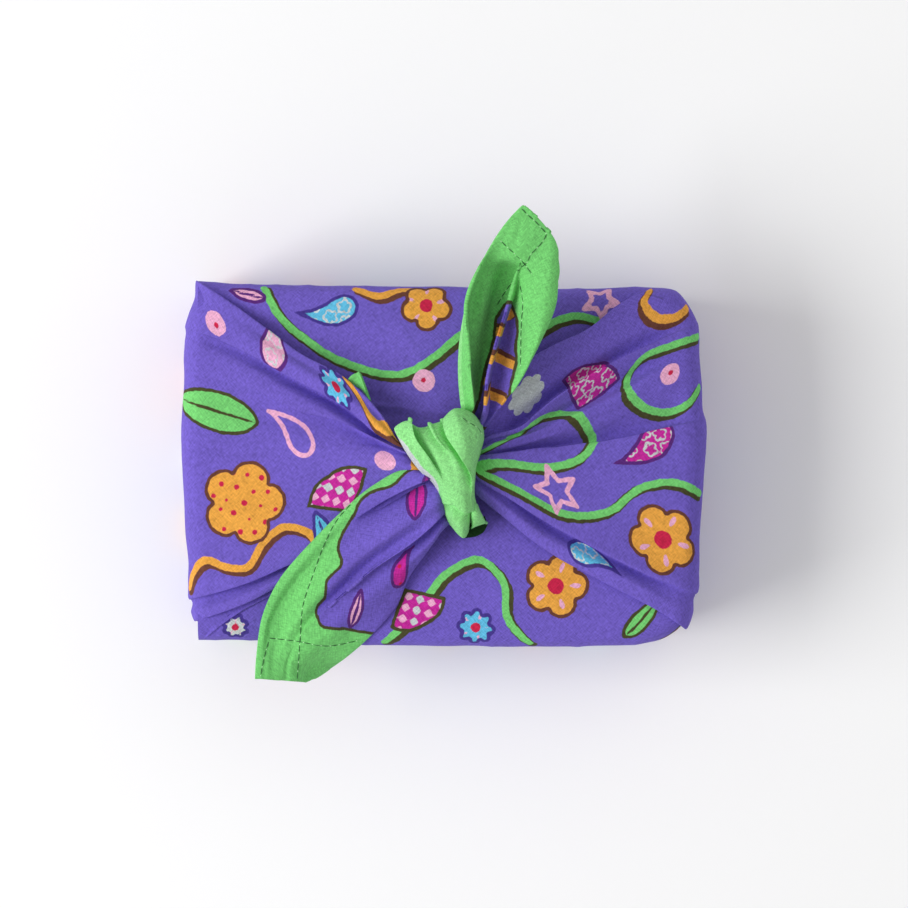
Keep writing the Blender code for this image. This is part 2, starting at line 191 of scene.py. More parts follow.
def leafShape():
    # x = cos a, y = 0.42 sin a |sin a| ** 0.3, with one side fuller
    a = np.linspace(0, 2 * np.pi, 44, endpoint=False)
    y = 0.42 * np.sin(a) * np.abs(np.sin(a)) ** 0.3 * (1 + 0.2 * np.cos(a))
    return np.column_stack([np.cos(a), y])


def dropShape():
    # x = cos a, y = 0.62 sin a sin(a / 2) ** 1.2, its tip bent by 0.5 (x + 0.2) ** 2
    a = np.linspace(0, 2 * np.pi, 56, endpoint=False)
    x = np.cos(a)
    bend = 0.5 * np.clip(x + 0.2, 0, 2) ** 2
    return np.column_stack([x, 0.62 * np.sin(a) * np.sin(a / 2) ** 1.2 + bend])


def fanShape():
    # an arc of radius 1 over 100 degrees with scallops of 0.04, closed through a point
    a = np.radians(np.linspace(-50, 50, 41))
    arc = polar(a, 1 + 0.04 * np.abs(np.sin(a * 3.6))) - np.array([0.6, 0.0])
    return np.concatenate([arc, [(-0.55, 0.06), (-0.62, 0.0), (-0.55, -0.06)]])


def starShape():
    # ten corners, at radius 1 and 0.46 by turns
    corner = np.arange(10)
    return polar(corner * np.pi / 5, np.where(corner % 2 == 0, 1.0, 0.46))


shapes = {
    "flower": petalShape(5, 0.76, 0.24, 0.7, 70), "daisy": petalShape(8, 0.76, 0.24, 0.7, 112),
    "blossom": petalShape(5, 0.58, 0.42, 0.8, 50), "leaf": leafShape(), "drop": dropShape(),
    "fan": fanShape() * 1.5, "star": starShape(),
    "disc": polar(np.linspace(0, 2 * np.pi, 24, endpoint=False), 1.0),
    "square": np.array([(1.0, 1.0), (-1.0, 1.0), (-1.0, -1.0), (1.0, -1.0)]),
}
outlined = {"starLine": "star", "dropLine": "drop"}     # drawn as a line alone

printing = {
    "reach": 5.0,               # mm round a shape in which its distance is worked out
    "pastEdge": 1.0,            # mm past a motif's edge that its inner marks may reach
    "topDepth": 3.0,            # the layout's places are looked up above this depth under bodyTop
    "pathPitch": 2.0,           # mm a step of a ribbon
    "shadeShift": 0.42,         # of a ribbon's width, from the ribbon to its darker edge
    "all": -10.0,               # border distance where all is border
}
marks = {
    "outline": 1.4,                                             # mm, a motif that is a line alone
    "heart": 0.25, "spokes": 5, "spokeAt": 0.58, "spokeSize": 0.17,     # shares of the motif's size
    "veinLength": 0.96, "veinWidth": 1.2,
    "checkPitch": 2.5, "checkSize": 0.43,                       # mm, share of the pitch
    "blossomsPitch": 5.8, "dotsPitch": 5.0, "rowPitch": 0.8,    # mm, mm, share of the pitch
    "jitter": 0.7, "blossom": 2.2, "blossomLine": 0.46, "dot": (0.55, 0.95),
}
scattered = {
    "kinds": [("flower", 9, "orange", "brown", "heart"), ("leaf", 10, "green", "olive", "vein"),
              ("starLine", 7, "rose", "rose", ""), ("drop", 10, "magenta", "plum", "blossoms"),
              ("daisy", 8, "sky", "navy", "heart"), ("fan", 10, "magenta", "olive", "check"),
              ("flower", 7, "pale", "navy", "dots")],
    "pitch": 23.0, "rowPitch": 0.8, "start": 0.3, "stagger": 0.5,   # mm, shares of the pitch
    "firstRow": 9, "jitter": 3,                                     # mm
    "depth": 12,                # mm under bodyTop below which they begin
    "every": 7,                 # each seventh point is enough to look a place up
}


def turned(shape, size, turn, u, v):
    # size times the shape, turned by so many degrees and carried to u, v
    a = np.radians(turn)
    spin = np.array([[np.cos(a), np.sin(a)], [-np.sin(a), np.cos(a)]])
    return shapes[shape] @ spin * size + np.array([u, v])


def blankPrint(count):
    # nothing printed anywhere
    sheetPrint = {name: np.full(count, farAway) for name in
                  ("motifDistance", "detailDistance", "lineDistance", "lineShade", "borderDistance",
                   "patchDistance", "motifInner", "detailInner")}
    sheetPrint.update({name: np.zeros(count) for name in ("motifOuter", "detailOuter")})
    for name in ("motifFill", "motifRim", "detailFill", "lineFill", "lineRim"):
        sheetPrint[name] = np.tile(np.array(ink["violet"]), (count, 1))
    sheetPrint["borderFill"] = np.tile(np.array(ink["green"]), (count, 1))
    return sheetPrint


def stamp(sheetPrint, uv, loop, layer, fill, rim=None, band=0.0, within=None):
    # where this shape is the nearest of its layer: its signed distance d, its colours, and for a
    # line of half width h the limits of max(d - h, -d - h), which the cloth's shader works out
    low, high = loop.min(axis=0) - printing["reach"], loop.max(axis=0) + printing["reach"]
    near = np.nonzero(((uv > low) & (uv < high)).all(axis=1))[0]
    if within is not None:
        near = near[within[near]]
    if len(near) == 0:
        return near
    distance = loopDistance(uv[near], loop)
    closer = distance < sheetPrint[layer + "Distance"][near]
    near, distance = near[closer], distance[closer]
    sheetPrint[layer + "Distance"][near] = distance
    sheetPrint[layer + "Outer"][near] = band / 2
    sheetPrint[layer + "Inner"][near] = band / 2 if band else farAway
    sheetPrint[layer + "Fill"][near] = ink[fill]
    if rim:
        sheetPrint[layer + "Rim"][near] = ink[rim]
    return near[distance < printing["pastEdge"]]


def printMotif(sheetPrint, uv, row, at):
    # one motif: its outline, then the small marks inside it
    kind, _, _, size, turn, fill, rim, inner = row
    if kind in outlined:
        loop = turned(outlined[kind], size, turn, *at)
        stamp(sheetPrint, uv, loop, "motif", fill, rim, band=marks["outline"])
        return
    body = stamp(sheetPrint, uv, turned(kind, size, turn, *at), "motif", fill, rim)
    within = np.zeros(len(uv), bool)
    within[body] = True
    sheetPrint["detailDistance"][body] = farAway
    away = np.array([np.cos(np.radians(turn)), np.sin(np.radians(turn))])
    side = np.array([-away[1], away[0]])

    def mark(loop, fill, band=0.0):
        # a detail drawn only within the motif's body
        stamp(sheetPrint, uv, loop, "detail", fill, band=band, within=within)

    if inner == "heart":
        mark(turned("disc", size * marks["heart"], 0, *at), "red")
        for spoke in np.arange(marks["spokes"]) * 360 / marks["spokes"] + turn:
            a = np.radians(spoke)
            spot = at + marks["spokeAt"] * size * np.array([np.cos(a), -np.sin(a)])
            mark(turned("leaf", size * marks["spokeSize"], -spoke, *spot), "rose")
    elif inner == "vein":
        leaf = shapes["leaf"]
        sliver = leaf[:, :1] * away * size * marks["veinLength"] + leaf[:, 1:] * side * marks["veinWidth"]
        mark(sliver + at, rim)
    elif inner == "check":
        pitch = marks["checkPitch"]
        for i in range(-4, 5):
            for j in range(-4 + i % 2, 5, 2):
                square = turned("square", pitch * marks["checkSize"], turn,
                                *(at + away * i * pitch + side * j * pitch))
                mark(square, "rose" if (i - j) % 4 else "pale")
    elif inner:
        dice = np.random.default_rng(int(abs(at[0]) * 7 + abs(at[1]) * 13))
        pitch = marks[inner + "Pitch"]
        for i in range(-3, 4):
            for j in range(-2, 3):
                spot = (at + away * (i + 0.5 * (j % 2)) * pitch + side * j * pitch * marks["rowPitch"]
                        + dice.uniform(-marks["jitter"], marks["jitter"], 2))
                if inner == "blossoms":
                    mark(turned("blossom", marks["blossom"], dice.uniform(0, 72), *spot), "pale",
                         band=marks["blossomLine"])
                else:
                    mark(turned("disc", dice.uniform(*marks["dot"]), 0, *spot), "red")


def printPattern(grid, uv, motifs, ribbons, scatter=0):
    # motifs and ribbons placed by plan and drawn in the cloth's own coordinates
    flat, cloth = grid.reshape(-1, 3), uv.reshape(-1, 2)
    sheetPrint = blankPrint(len(flat))
    top = np.nonzero(flat[:, 2] > bodyTop - printing["topDepth"])[0]

    def onCloth(x, y):
        # the cloth's own coordinates at the top point nearest to x, y in plan
        return cloth[top[np.argmin((flat[top, 0] - x) ** 2 + (flat[top, 1] - y) ** 2)]]

    if scatter:
        scatterMotifs(sheetPrint, flat, cloth, scatter)
    for row in motifs:
        printMotif(sheetPrint, cloth, row, onCloth(row[1], row[2]))
    for fill, rim, width, path in ribbons:
        line = softLine([onCloth(x, y) for x, y in path], printing["pathPitch"])
        distance = pathDistance(cloth, line) - width / 2
        closer = distance < sheetPrint["lineDistance"]
        shade = pathDistance(cloth, line + width * printing["shadeShift"]) - width / 2
        sheetPrint["lineDistance"][closer] = distance[closer]
        sheetPrint["lineFill"][closer] = ink[fill]
        closer = shade < sheetPrint["lineShade"]
        sheetPrint["lineShade"][closer] = shade[closer]
        sheetPrint["lineRim"][closer] = ink[rim]
    return sheetPrint


def scatterMotifs(sheetPrint, flat, cloth, seed):
    # a jittered lattice of motifs for the sides and the underside, away from the top
    dice = np.random.default_rng(seed)
    kinds, pitch = scattered["kinds"], scattered["pitch"]
    coarse = slice(None, None, scattered["every"])
    low, high = cloth.min(axis=0), cloth.max(axis=0)
    lines = np.arange(low[1] + scattered["firstRow"], high[1], pitch * scattered["rowPitch"])
    for line, v in enumerate(lines):
        start = pitch * (scattered["start"] + scattered["stagger"] * (line % 2))
        for u in np.arange(low[0] + start, high[0], pitch):
            kind, size, fill, rim, inner = kinds[dice.integers(len(kinds))]
            at = np.array([u, v]) + dice.uniform(-scattered["jitter"], scattered["jitter"], 2)
            turn = dice.uniform(0, 360)
            nearest = np.argmin(((cloth[coarse] - at) ** 2).sum(axis=1))
            if flat[coarse][nearest, 2] < bodyTop - scattered["depth"]:
                printMotif(sheetPrint, cloth, (kind, 0, 0, size, turn, fill, rim, inner), at)


def borderPrint(count):
    # border everywhere
    sheetPrint = blankPrint(count)
    sheetPrint["borderDistance"][:] = printing["all"]
    return sheetPrint


# cloth from grids


def placed(name, data):
    # a new object in the scene
    item = bpy.data.objects.new(name, data)
    bpy.context.scene.collection.objects.link(item)
    return item


def gridQuads(rows, columns):
    # corners of each cell, turning from the second direction to the first
    i, j = np.meshgrid(np.arange(rows - 1), np.arange(columns - 1), indexing="ij")
    corner = (i * columns + j).ravel()
    return np.stack([corner, corner + 1, corner + columns + 1, corner + columns], axis=1)


def clothPiece(name, grid, uv, sheetPrint, thickness, inner=None):
    # grid of points to a quad mesh, with the cloth's coordinates and the print as attributes;
    # faces look away from the point inner inside the form, or up where there is none
    rows, columns = grid.shape[:2]
    quads = gridQuads(rows, columns)
    normal = gridNormals(grid)
    look = normal[..., 2] if inner is None else (normal * (grid - np.array(inner))).sum(-1)
    if look.mean() > 0:
        quads = quads[:, ::-1]
    mesh = bpy.data.meshes.new(name)
    mesh.vertices.add(rows * columns)
    mesh.vertices.foreach_set("co", (grid.reshape(-1) * mm).astype(np.float32))
    mesh.loops.add(quads.size)
    mesh.loops.foreach_set("vertex_index", quads.reshape(-1).astype(np.int32))
    mesh.polygons.add(len(quads))
    mesh.polygons.foreach_set("loop_start", np.arange(0, quads.size, 4, dtype=np.int32))
    mesh.update(calc_edges=True)
    mesh.shade_smooth()
    flatUv = uv.reshape(-1, 2) * mm
    layer = mesh.uv_layers.new(name="cloth")
    layer.data.foreach_set("uv", flatUv[quads.reshape(-1)].astype(np.float32).reshape(-1))
    for key, values in sheetPrint.items():
        isColour = values.ndim == 2
        kind, field = ("FLOAT_COLOR", "color") if isColour else ("FLOAT", "value")
        attribute = mesh.attributes.new(key, kind, "POINT")
        attribute.data.foreach_set(field, values.astype(np.float32).reshape(-1))
    mesh.materials.append(printedCotton)
    piece = placed(name, mesh)
    if thickness:
        solid = piece.modifiers.new("cloth thickness", "SOLIDIFY")
        solid.thickness = thickness * mm
        solid.offset = -1.0
    cells = np.cross(np.diff(grid, axis=0)[:, :-1], np.diff(grid, axis=1)[:-1])
    print(name, "made,", rows, "by", columns, "points,", np.linalg.norm(cells, axis=-1).sum() / 1e6, "m2")
    return piece


fold = {
    "fadeFrom": 0.2, "fadeOver": 0.8,   # a crease less deep than this hides less, and then nothing
    "creaseSlide": 0.35,                # share of the way from lip to crease where the slide starts
    "under": 0.4, "underTuck": 0.75,    # the line under a lip: share of its height, of the tuck
    "easeLip": 0.55, "easeUnder": 0.7, "easePlain": 0.9,
    "turnAt": 0.45,                     # first line of a turned edge, share of the way in
    "turnDrop": 0.6,                    # share of the drop there, the rest growing inwards
    "turnEase": [0.8, 0.9],
    "turnWidest": 0.4,                  # share of the first strip's width that turns under
}


def undercut(rows, tuck):
    # each lip gets a second line below it, and its crease slides back beneath it by
    # tuck * (height over the crease / 2); returns knots, ease, and each knot's panel
    lines = np.array([row[2:] for row in rows], float)
    kinds = [row[1] for row in rows]
    moved = lines.copy()
    under = {}
    for i, kind in enumerate(kinds):
        if not kind.startswith("over"):
            continue
        step = 1 if kind.startswith("over next") else -1
        lip, crease, back = lines[i], lines[i + step], lines[max(i - step, 0)]
        away = crease[:, :2] - back[:, :2]
        away = away / np.linalg.norm(away, axis=1, keepdims=True)
        height = lip[:, 2:] - crease[:, 2:]
        depth = tuck * np.clip(height / 2, 0, 1)
        hidden = np.clip((height - fold["fadeFrom"]) / fold["fadeOver"], 0, 1)
        slid = lip[:, :2] + fold["creaseSlide"] * (crease - lip)[:, :2] - away * depth
        moved[i + step, :, :2] = crease[:, :2] * (1 - hidden) + slid * hidden
        faded = lip * (1 - fold["under"]) + crease * fold["under"]
        below = lip * fold["under"] + crease * (1 - fold["under"])
        below[:, :2] = lip[:, :2] - away * depth * fold["underTuck"]
        under[i] = (faded * (1 - hidden) + below * hidden, step)
    found, number = [], 0           # line, ease, panel
    for i, kind in enumerate(kinds):
        below, step = under.get(i, (None, 0))
        apart = 0 if kind.endswith("joined") else 1     # a joined lip's print runs on without a break
        if step == -1:
            found.append((below, fold["easeUnder"], number))
            number += apart
        found.append((moved[i], fold["easeLip"] if step else fold["easePlain"], number))
        if step == 1:
            found.append((below, fold["easeUnder"], number))
            number += apart
    knots, ease, panel = zip(*found)
    return np.array(knots), ease, np.array(panel)


def turnUnder(knots, panel, ease, inward, drop):
    # the cloth's first edge folded: two more lines that turn back beneath it
    edge = knots[0]
    toward = knots[1][:, :2] - edge[:, :2]
    width = np.linalg.norm(toward, axis=1, keepdims=True)
    toward = toward / width * np.minimum(inward, fold["turnWidest"] * width)
    extra = []
    for share in (1.0, fold["turnAt"]):
        line = edge.copy()
        line[:, :2] += toward * share
        line[:, 2] -= drop * (fold["turnDrop"] + (1 - fold["turnDrop"]) * share)
        extra.append(line)
    return (np.concatenate([extra, knots]), np.concatenate([[panel[0]] * 2, panel]),
            fold["turnEase"][::-1] + list(ease))


def pleatedGrid(rows, tuck, along, across, edgeTurn=None):
    # rails through the stations, then sections across the rails; returns points and panels
    knots, ease, panel = undercut(rows, tuck)
    if edgeTurn:                # both edges, the last one with the order reversed
        knots, panel, ease = turnUnder(knots, panel, ease, *edgeTurn)
        knots, panel, ease = turnUnder(knots[::-1], panel[::-1], ease[::-1], *edgeTurn)
        knots, panel, ease = knots[::-1].copy(), panel[::-1], ease[::-1]
    knots[..., 2] += bodyTop
    stations = knots.transpose(1, 0, 2)
    lines = chordCurve(stations, stepsFor(stations, along), np.ones(len(stations))).transpose(1, 0, 2)
    counts = stepsFor(lines, across, 2)
    grid = chordCurve(lines, counts, ease)
    finePanel = np.append(np.repeat(panel[:-1], counts), panel[-1]).astype(float)
    at = 0
    for gap, count in enumerate(counts):        # rows of a hidden strip lie between two panels
        if panel[gap] != panel[gap + 1]:
            finePanel[at + 1:at + count] = panel[gap] + 0.5
        at += count
    return seenFromAbove(grid), finePanel


def clothCoordinates(grid, panel, column):
    # v runs along each line; u is measured across from the middle line of each panel, where it is
    # what it is at the given column, so that a fold hides cloth and doesn't squeeze it
    v = lengthStep(grid, 1)
    s = lengthStep(grid, 0)
    u = s.copy()
    whole = panel == np.floor(panel)
    for number in np.unique(panel[whole]):
        rows = np.nonzero(panel == number)[0]
        middle = rows[np.argmin(np.abs(s[rows, column] - s[rows, column].mean()))]
        u[rows] = s[middle, column] + s[rows] - s[middle]
    for row in np.nonzero(~whole)[0]:
        before = np.nonzero(whole[:row])[0][-1]
        after = row + np.nonzero(whole[row:])[0][0]
        share = (row - before) / (after - before)
        u[row] = u[before] * (1 - share) + u[after] * share
    return np.stack([u, v], axis=-1)


def relief(grid, uv, hide, layers, seed):
    # move points along their normals by the sum of amount * noise(u / cellU, v / cellV) * hide;
    # each layer is amount, cellU, cellV, and what it adds to the seed
    normal = gridNormals(grid)
    if normal[..., 2].mean() < 0:
        normal = -normal
    lift = sum(amount * noise(uv[..., 0], uv[..., 1], cellU, cellV, seed + more)
               for amount, cellU, cellV, more in layers)
    return grid + normal * (lift * hide)[..., None]


# the cotton

cotton = {
    "weaveAngle": 45.0,         # the threads run across the cloth's diagonal
    "threadPitch": 0.38,        # mm
    "slubLength": 1.9,          # mm
    "slubPitch": 1.3, "slubReach": 9.0,     # the thicker threads: of the pitch, mm
    "slubShare": 0.25, "cloudShare": 0.25,  # how strong they and the clouds are
    "cloud": 14.0,              # mm across the uneven patches of dye
    "edgeBleed": 0.13,          # mm over which the print's edges fade
    "wobble": 0.34,             # mm that the print's outlines wander
    "wobbleCell": 2.6,          # mm
    "rimWidth": 1.05,           # mm of outline inside a motif's edge
    "shadeWidth": 0.35,         # mm of darker edge outside a ribbon's shade line
    "groundRim": 0.9,           # mm of outline between ground and border
    "roughness": 0.9,
    "sheen": 0.05, "sheenRoughness": 0.5, "specular": 0.12,
    "bump": 0.5, "bumpHeight": 0.06,        # strength, mm
    "absorb": 0.80,             # share of the light that the inks above give back
    "weaveRange": (1.0, 1.75), "weaveTone": (0.75, 1.25),   # sum of streaks, and its tone
}


def addNode(tree, kind, **settings):
    # a node of one kind with its settings
    node = tree.nodes.new(kind)
    for name, value in settings.items():
        setattr(node, name, value)
    return node


def setInputs(node, values):
    # the fixed values of a node's named inputs
    for name, value in values.items():
        node.inputs[name].default_value = value


def newMaterial(name):
    # a material, its node tree and its surface node
    material = bpy.data.materials.new(name)
    material.use_nodes = True
    return material, material.node_tree, material.node_tree.nodes["Principled BSDF"]


def mathNode(tree, operation, first, second=None):
    # first and second joined by one operation, each a number or another node's output
    node = tree.nodes.new("ShaderNodeMath")
    node.operation = operation
    for socket, value in zip(node.inputs, (first, second)):
        if value is None:
            continue
        if isinstance(value, (int, float)):
            socket.default_value = value
        else:
            tree.links.new(value, socket)
    return node.outputs[0]


def mixColour(tree, share, under, over, blend="MIX"):
    # under (1 - share) + over share, or another blend of the two
    node = tree.nodes.new("ShaderNodeMix")
    node.data_type = "RGBA"
    node.blend_type = blend
    for socket, value in ((node.inputs[0], share), (node.inputs[6], under), (node.inputs[7], over)):
        if isinstance(value, (int, float, tuple)):
            socket.default_value = value
        else:
            tree.links.new(value, socket)
    return node.outputs[2]


def streaks(tree, uv, angle, across, along, detail):
    # noise drawn out along one set of threads
    turn = addNode(tree, "ShaderNodeMapping")
    setInputs(turn, {"Rotation": (0, 0, np.radians(angle))})
    tree.links.new(uv, turn.inputs["Vector"])
    stretch = addNode(tree, "ShaderNodeMapping")
    setInputs(stretch, {"Scale": (1 / (across * mm), 1 / (along * mm), 1)})
    tree.links.new(turn.outputs[0], stretch.inputs["Vector"])
    texture = addNode(tree, "ShaderNodeTexNoise", noise_dimensions="2D")
    setInputs(texture, {"Scale": 1.0, "Detail": detail, "Roughness": 0.6})
    tree.links.new(stretch.outputs[0], texture.inputs["Vector"])
    return texture.outputs["Fac"]


def makePrintedCotton():
    # the print's layers by threshold of their distances, over them the weave's light and dark
    material, tree, shader = newMaterial("printedCotton")
    uv = addNode(tree, "ShaderNodeUVMap", uv_map="cloth").outputs[0]
    ripple = streaks(tree, uv, 0, cotton["wobbleCell"], cotton["wobbleCell"], 2.5)
    wander = mathNode(tree, "MULTIPLY", mathNode(tree, "SUBTRACT", ripple, 0.5), 2 * cotton["wobble"])

    def attribute(name, colour=False):
        # a distance or a colour stored on the mesh
        node = addNode(tree, "ShaderNodeAttribute", attribute_name=name)
        return node.outputs["Color"] if colour else node.outputs["Fac"]

    def shapeDistance(layer):
        # a filled shape: d; a line of half width h: max(d - h, -d - h)
        distance = attribute(layer + "Distance")
        outer = mathNode(tree, "SUBTRACT", distance, attribute(layer + "Outer"))
        opposite = mathNode(tree, "MULTIPLY", distance, -1.0)
        inner = mathNode(tree, "SUBTRACT", opposite, attribute(layer + "Inner"))
        return mathNode(tree, "MAXIMUM", outer, inner)

    def inside(distance, edge):
        # 1 where the distance is below edge, 0 above it, fading over the bleed
        distance = mathNode(tree, "ADD", distance, wander)
        node = addNode(tree, "ShaderNodeMapRange", interpolation_type="SMOOTHSTEP")
        tree.links.new(distance, node.inputs["Value"])
        bleed = cotton["edgeBleed"]
        setInputs(node, {"From Min": edge - bleed, "From Max": edge + bleed, "To Min": 1.0, "To Max": 0.0})
        return node.outputs[0]

    motif, detail, border = shapeDistance("motif"), shapeDistance("detail"), attribute("borderDistance")
    body = inside(motif, -cotton["rimWidth"])
    shade = inside(attribute("lineShade"), cotton["shadeWidth"])
    colour = mixColour(tree, shade, ink["violet"], attribute("lineRim", True))
    colour = mixColour(tree, inside(attribute("lineDistance"), 0.0), colour, attribute("lineFill", True))
    colour = mixColour(tree, inside(motif, 0.0), colour, attribute("motifRim", True))
    colour = mixColour(tree, body, colour, attribute("motifFill", True))
    drawn = mathNode(tree, "MULTIPLY", inside(detail, 0.0), body)
    colour = mixColour(tree, drawn, colour, attribute("detailFill", True))
    colour = mixColour(tree, inside(border, cotton["groundRim"]), colour, ink["olive"])
    colour = mixColour(tree, inside(border, 0.0), colour, attribute("borderFill", True))
    colour = mixColour(tree, inside(attribute("patchDistance"), 0.0), colour, ink["pale"])

    pitch, slub, angle = cotton["threadPitch"], cotton["slubLength"], cotton["weaveAngle"]
    warp = streaks(tree, uv, angle, pitch, slub, 2.0)
    weft = streaks(tree, uv, angle, slub, pitch, 2.0)
    cloud = streaks(tree, uv, 0, cotton["cloud"], cotton["cloud"], 3.0)
    thick, reach = pitch * cotton["slubPitch"], cotton["slubReach"]
    slubs = mathNode(tree, "ADD", streaks(tree, uv, angle, thick, reach, 1.0),
                     streaks(tree, uv, angle, reach, thick, 1.0))
    weave = mathNode(tree, "ADD", mathNode(tree, "ADD", warp, weft),
                     mathNode(tree, "MULTIPLY", cloud, cotton["cloudShare"]))
    weave = mathNode(tree, "ADD", weave, mathNode(tree, "MULTIPLY", slubs, cotton["slubShare"]))
    light = addNode(tree, "ShaderNodeMapRange", clamp=False)
    tree.links.new(weave, light.inputs["Value"])
    (low, high), (dark, pale), share = cotton["weaveRange"], cotton["weaveTone"], cotton["absorb"]
    setInputs(light, {"From Min": low, "From Max": high, "To Min": dark * share, "To Max": pale * share})
    grey = addNode(tree, "ShaderNodeCombineColor")
    for socket in grey.inputs[:3]:
        tree.links.new(light.outputs[0], socket)
    colour = mixColour(tree, 1.0, colour, grey.outputs[0], "MULTIPLY")
    tree.links.new(colour, shader.inputs["Base Color"])

    bump = addNode(tree, "ShaderNodeBump")
    setInputs(bump, {"Strength": cotton["bump"], "Distance": cotton["bumpHeight"] * mm})
    tree.links.new(mathNode(tree, "ADD", warp, weft), bump.inputs["Height"])
    tree.links.new(bump.outputs[0], shader.inputs["Normal"])
    setInputs(shader, {"Roughness": cotton["roughness"], "Specular IOR Level": cotton["specular"],
                       "Sheen Weight": cotton["sheen"], "Sheen Roughness": cotton["sheenRoughness"]})
    return material


printedCotton = makePrintedCotton()
print("cotton made")

# flaps: the far and near corners of the cloth, over the top, round the walls, underneath

flap = {
    "pitch": 0.7,               # mm between points on top
    "wallPitch": 1.5,
    "shoulder": 6.0,            # roundness of the upper edges
    "shoulderStep": 9,          # degrees a step round them
    "tuck": 1.2,                # how far the walls draw in towards the foot
    "foot": [(2.6, 0.45), (1.6, 1.1), (1.2, 2.6)],     # inset and level round the lower edge
    "wallFrom": 4.0,
    "under": 3.4, "underSteps": 24, "underLevel": 0.4,  # the underside: its edge's inset, its level
    "wallSwell": 0.6, "wallFold": 0.35,     # mm of long swells and of narrow upright folds
    "nearHem": 5.0,             # y where each flap's hidden hem ends
    "farHem": -12.0,
    "nearLower": 0.6,           # the near flap lies under the far one
    "riseFrom": (0, 9), "lowerFrom": (20, 45),  # mm from the shoulder over which these set in
    "underGathers": 2.8,        # how far the flaps are pressed down below the gathers
    "pressedFrom": (1.0, 5.5),  # mm inside the gathers' edges
    "pressedOut": 95,           # the gathers' outline runs on past the body's ends to here
    "crown": 0.8,
    "crease": 0.4,              # share of the fall that lies below a crease
}
# x, y of the far edge, y of the near edge
flapEdges = [
    (-73.6, 48.9, -59.2), (-61, 48.1, -59.3), (-43, 47.8, -59.8), (-25, 47.5, -60.7),
    (7, 47.2, -61.1), (33.5, 46.7, -61.4), (50, 46.9, -61), (60, 47.2, -60.4),
    (66, 46.8, -59), (70, 45.4, -56.6), (72.6, 43.2, -54),
]
# soft dents and swellings of the top: x, y, reach along x, reach along y, rise
flapSwells = [
    (0, 31, 20, 8, 1.4), (-28, 25, 16, 7, -2), (-14, 10, 12, 6, -1.6),
    (-44, 35, 14, 6, -1.2), (46, 37, 12, 4.5, -1.6), (30, 42, 14, 5, 0.7),
    (6, -38, 20, 12, 0.9), (-12, -54, 26, 4, -0.4), (24, -50, 12, 8, 0.4),
]
# creases pressed into the top: height, half width, lower side of the line, points
flapCreases = [
    (0.75, 0.8, 1.3, [(-21, 11.4), (-12, 10.6), (-5, 9.6), (2, 8.8)]),
    (0.35, 2.2, 0, [(-40, 30), (-24, 24), (-8, 17), (0, 13)]),
    (0.25, 1.6, 0, [(-18, 40), (-10, 30), (-3, 18)]),
    (0.25, 2, 0, [(12, -30), (16, -44), (17, -58)]),
]


def flapRise(x, y):
    # crown (1 - a^2)(1 - b^2) + swells h exp(-(dx/r)^2 - (dy/s)^2) + ridges h exp(-(d/w)^2)
    a, b = (x - bodyMiddle[0]) / bodyHalf[0], (y - bodyMiddle[1]) / bodyHalf[1]
    rise = flap["crown"] * np.clip(1 - a * a, 0, 1) * np.clip(1 - b * b, 0, 1)
    for atX, atY, reachX, reachY, height in flapSwells:
        rise += height * np.exp(-((x - atX) / reachX) ** 2 - ((y - atY) / reachY) ** 2)
    points = np.column_stack([x.ravel(), y.ravel()])
    for height, width, fall, path in flapCreases:
        line = softLine(path, printing["pathPitch"])
        distance = pathDistance(points, line).reshape(x.shape)
        below = (y < np.interp(x, line[:, 0], line[:, 1])) if fall else False
        rise += height * np.exp(-(distance / np.where(below, width * 3, width)) ** 2)
        if fall:
            rise -= fall * flap["crease"] * np.exp(-((distance - 2 * width) / (2 * width)) ** 2) * below
    rise += 0.22 * noise(x, y, 14.0, 11.0, 3) + 0.07 * noise(x + y, x - y, 4.0, 9.0, 4)
    return rise


def flapHalf(x, edge, side, hem, lower):
    # from the middle of the underside out to the foot, up the wall, round the shoulder, to the hem
    shoulder, middle = flap["shoulder"], bodyMiddle[1]
    angles = np.radians(np.arange(0, 91, flap["shoulderStep"]))
    levels = np.arange(flap["wallFrom"], bodyTop - shoulder, flap["wallPitch"])
    insets = flap["foot"] + [(flap["tuck"] * (1 - z / bodyTop), z) for z in levels]
    insets += [(shoulder * (1 - np.cos(a)), bodyTop - shoulder * (1 - np.sin(a))) for a in angles]
    across = edge - side * flap["under"] - middle
    rows = [np.stack([x, middle + across * share, x * 0 + flap["underLevel"]], -1)
            for share in np.linspace(0, 1, flap["underSteps"])[:, None] ** 0.9]
    for inset, z in insets:
        out = flap["wallSwell"] * noise(x + 40 * side, x * 0 + z, 17.0, 26.0, 8)
        out *= np.sin(np.pi * min(z, 46.0) / 46.0)
        if 3 < z < 50:
            out -= flap["wallFold"] * np.abs(noise(x, x * 0 + z, 9.0, 60.0, 9))
        rows.append(np.stack([x, edge - side * (inset - out), x * 0 + z], -1))
    reach = np.abs(edge - side * shoulder - hem)
    count = int(reach.max() / flap["pitch"])
    for share in np.linspace(0, 1, count + 1)[1:]:
        y = edge - side * (shoulder + reach * share)
        risen = flapRise(x, y) * smooth(reach * share, *flap["riseFrom"])
        lowered = lower * smooth(reach * share, *flap["lowerFrom"])
        rows.append(np.stack([x, y, bodyTop + (risen - lowered)], -1))
    return np.array(rows)


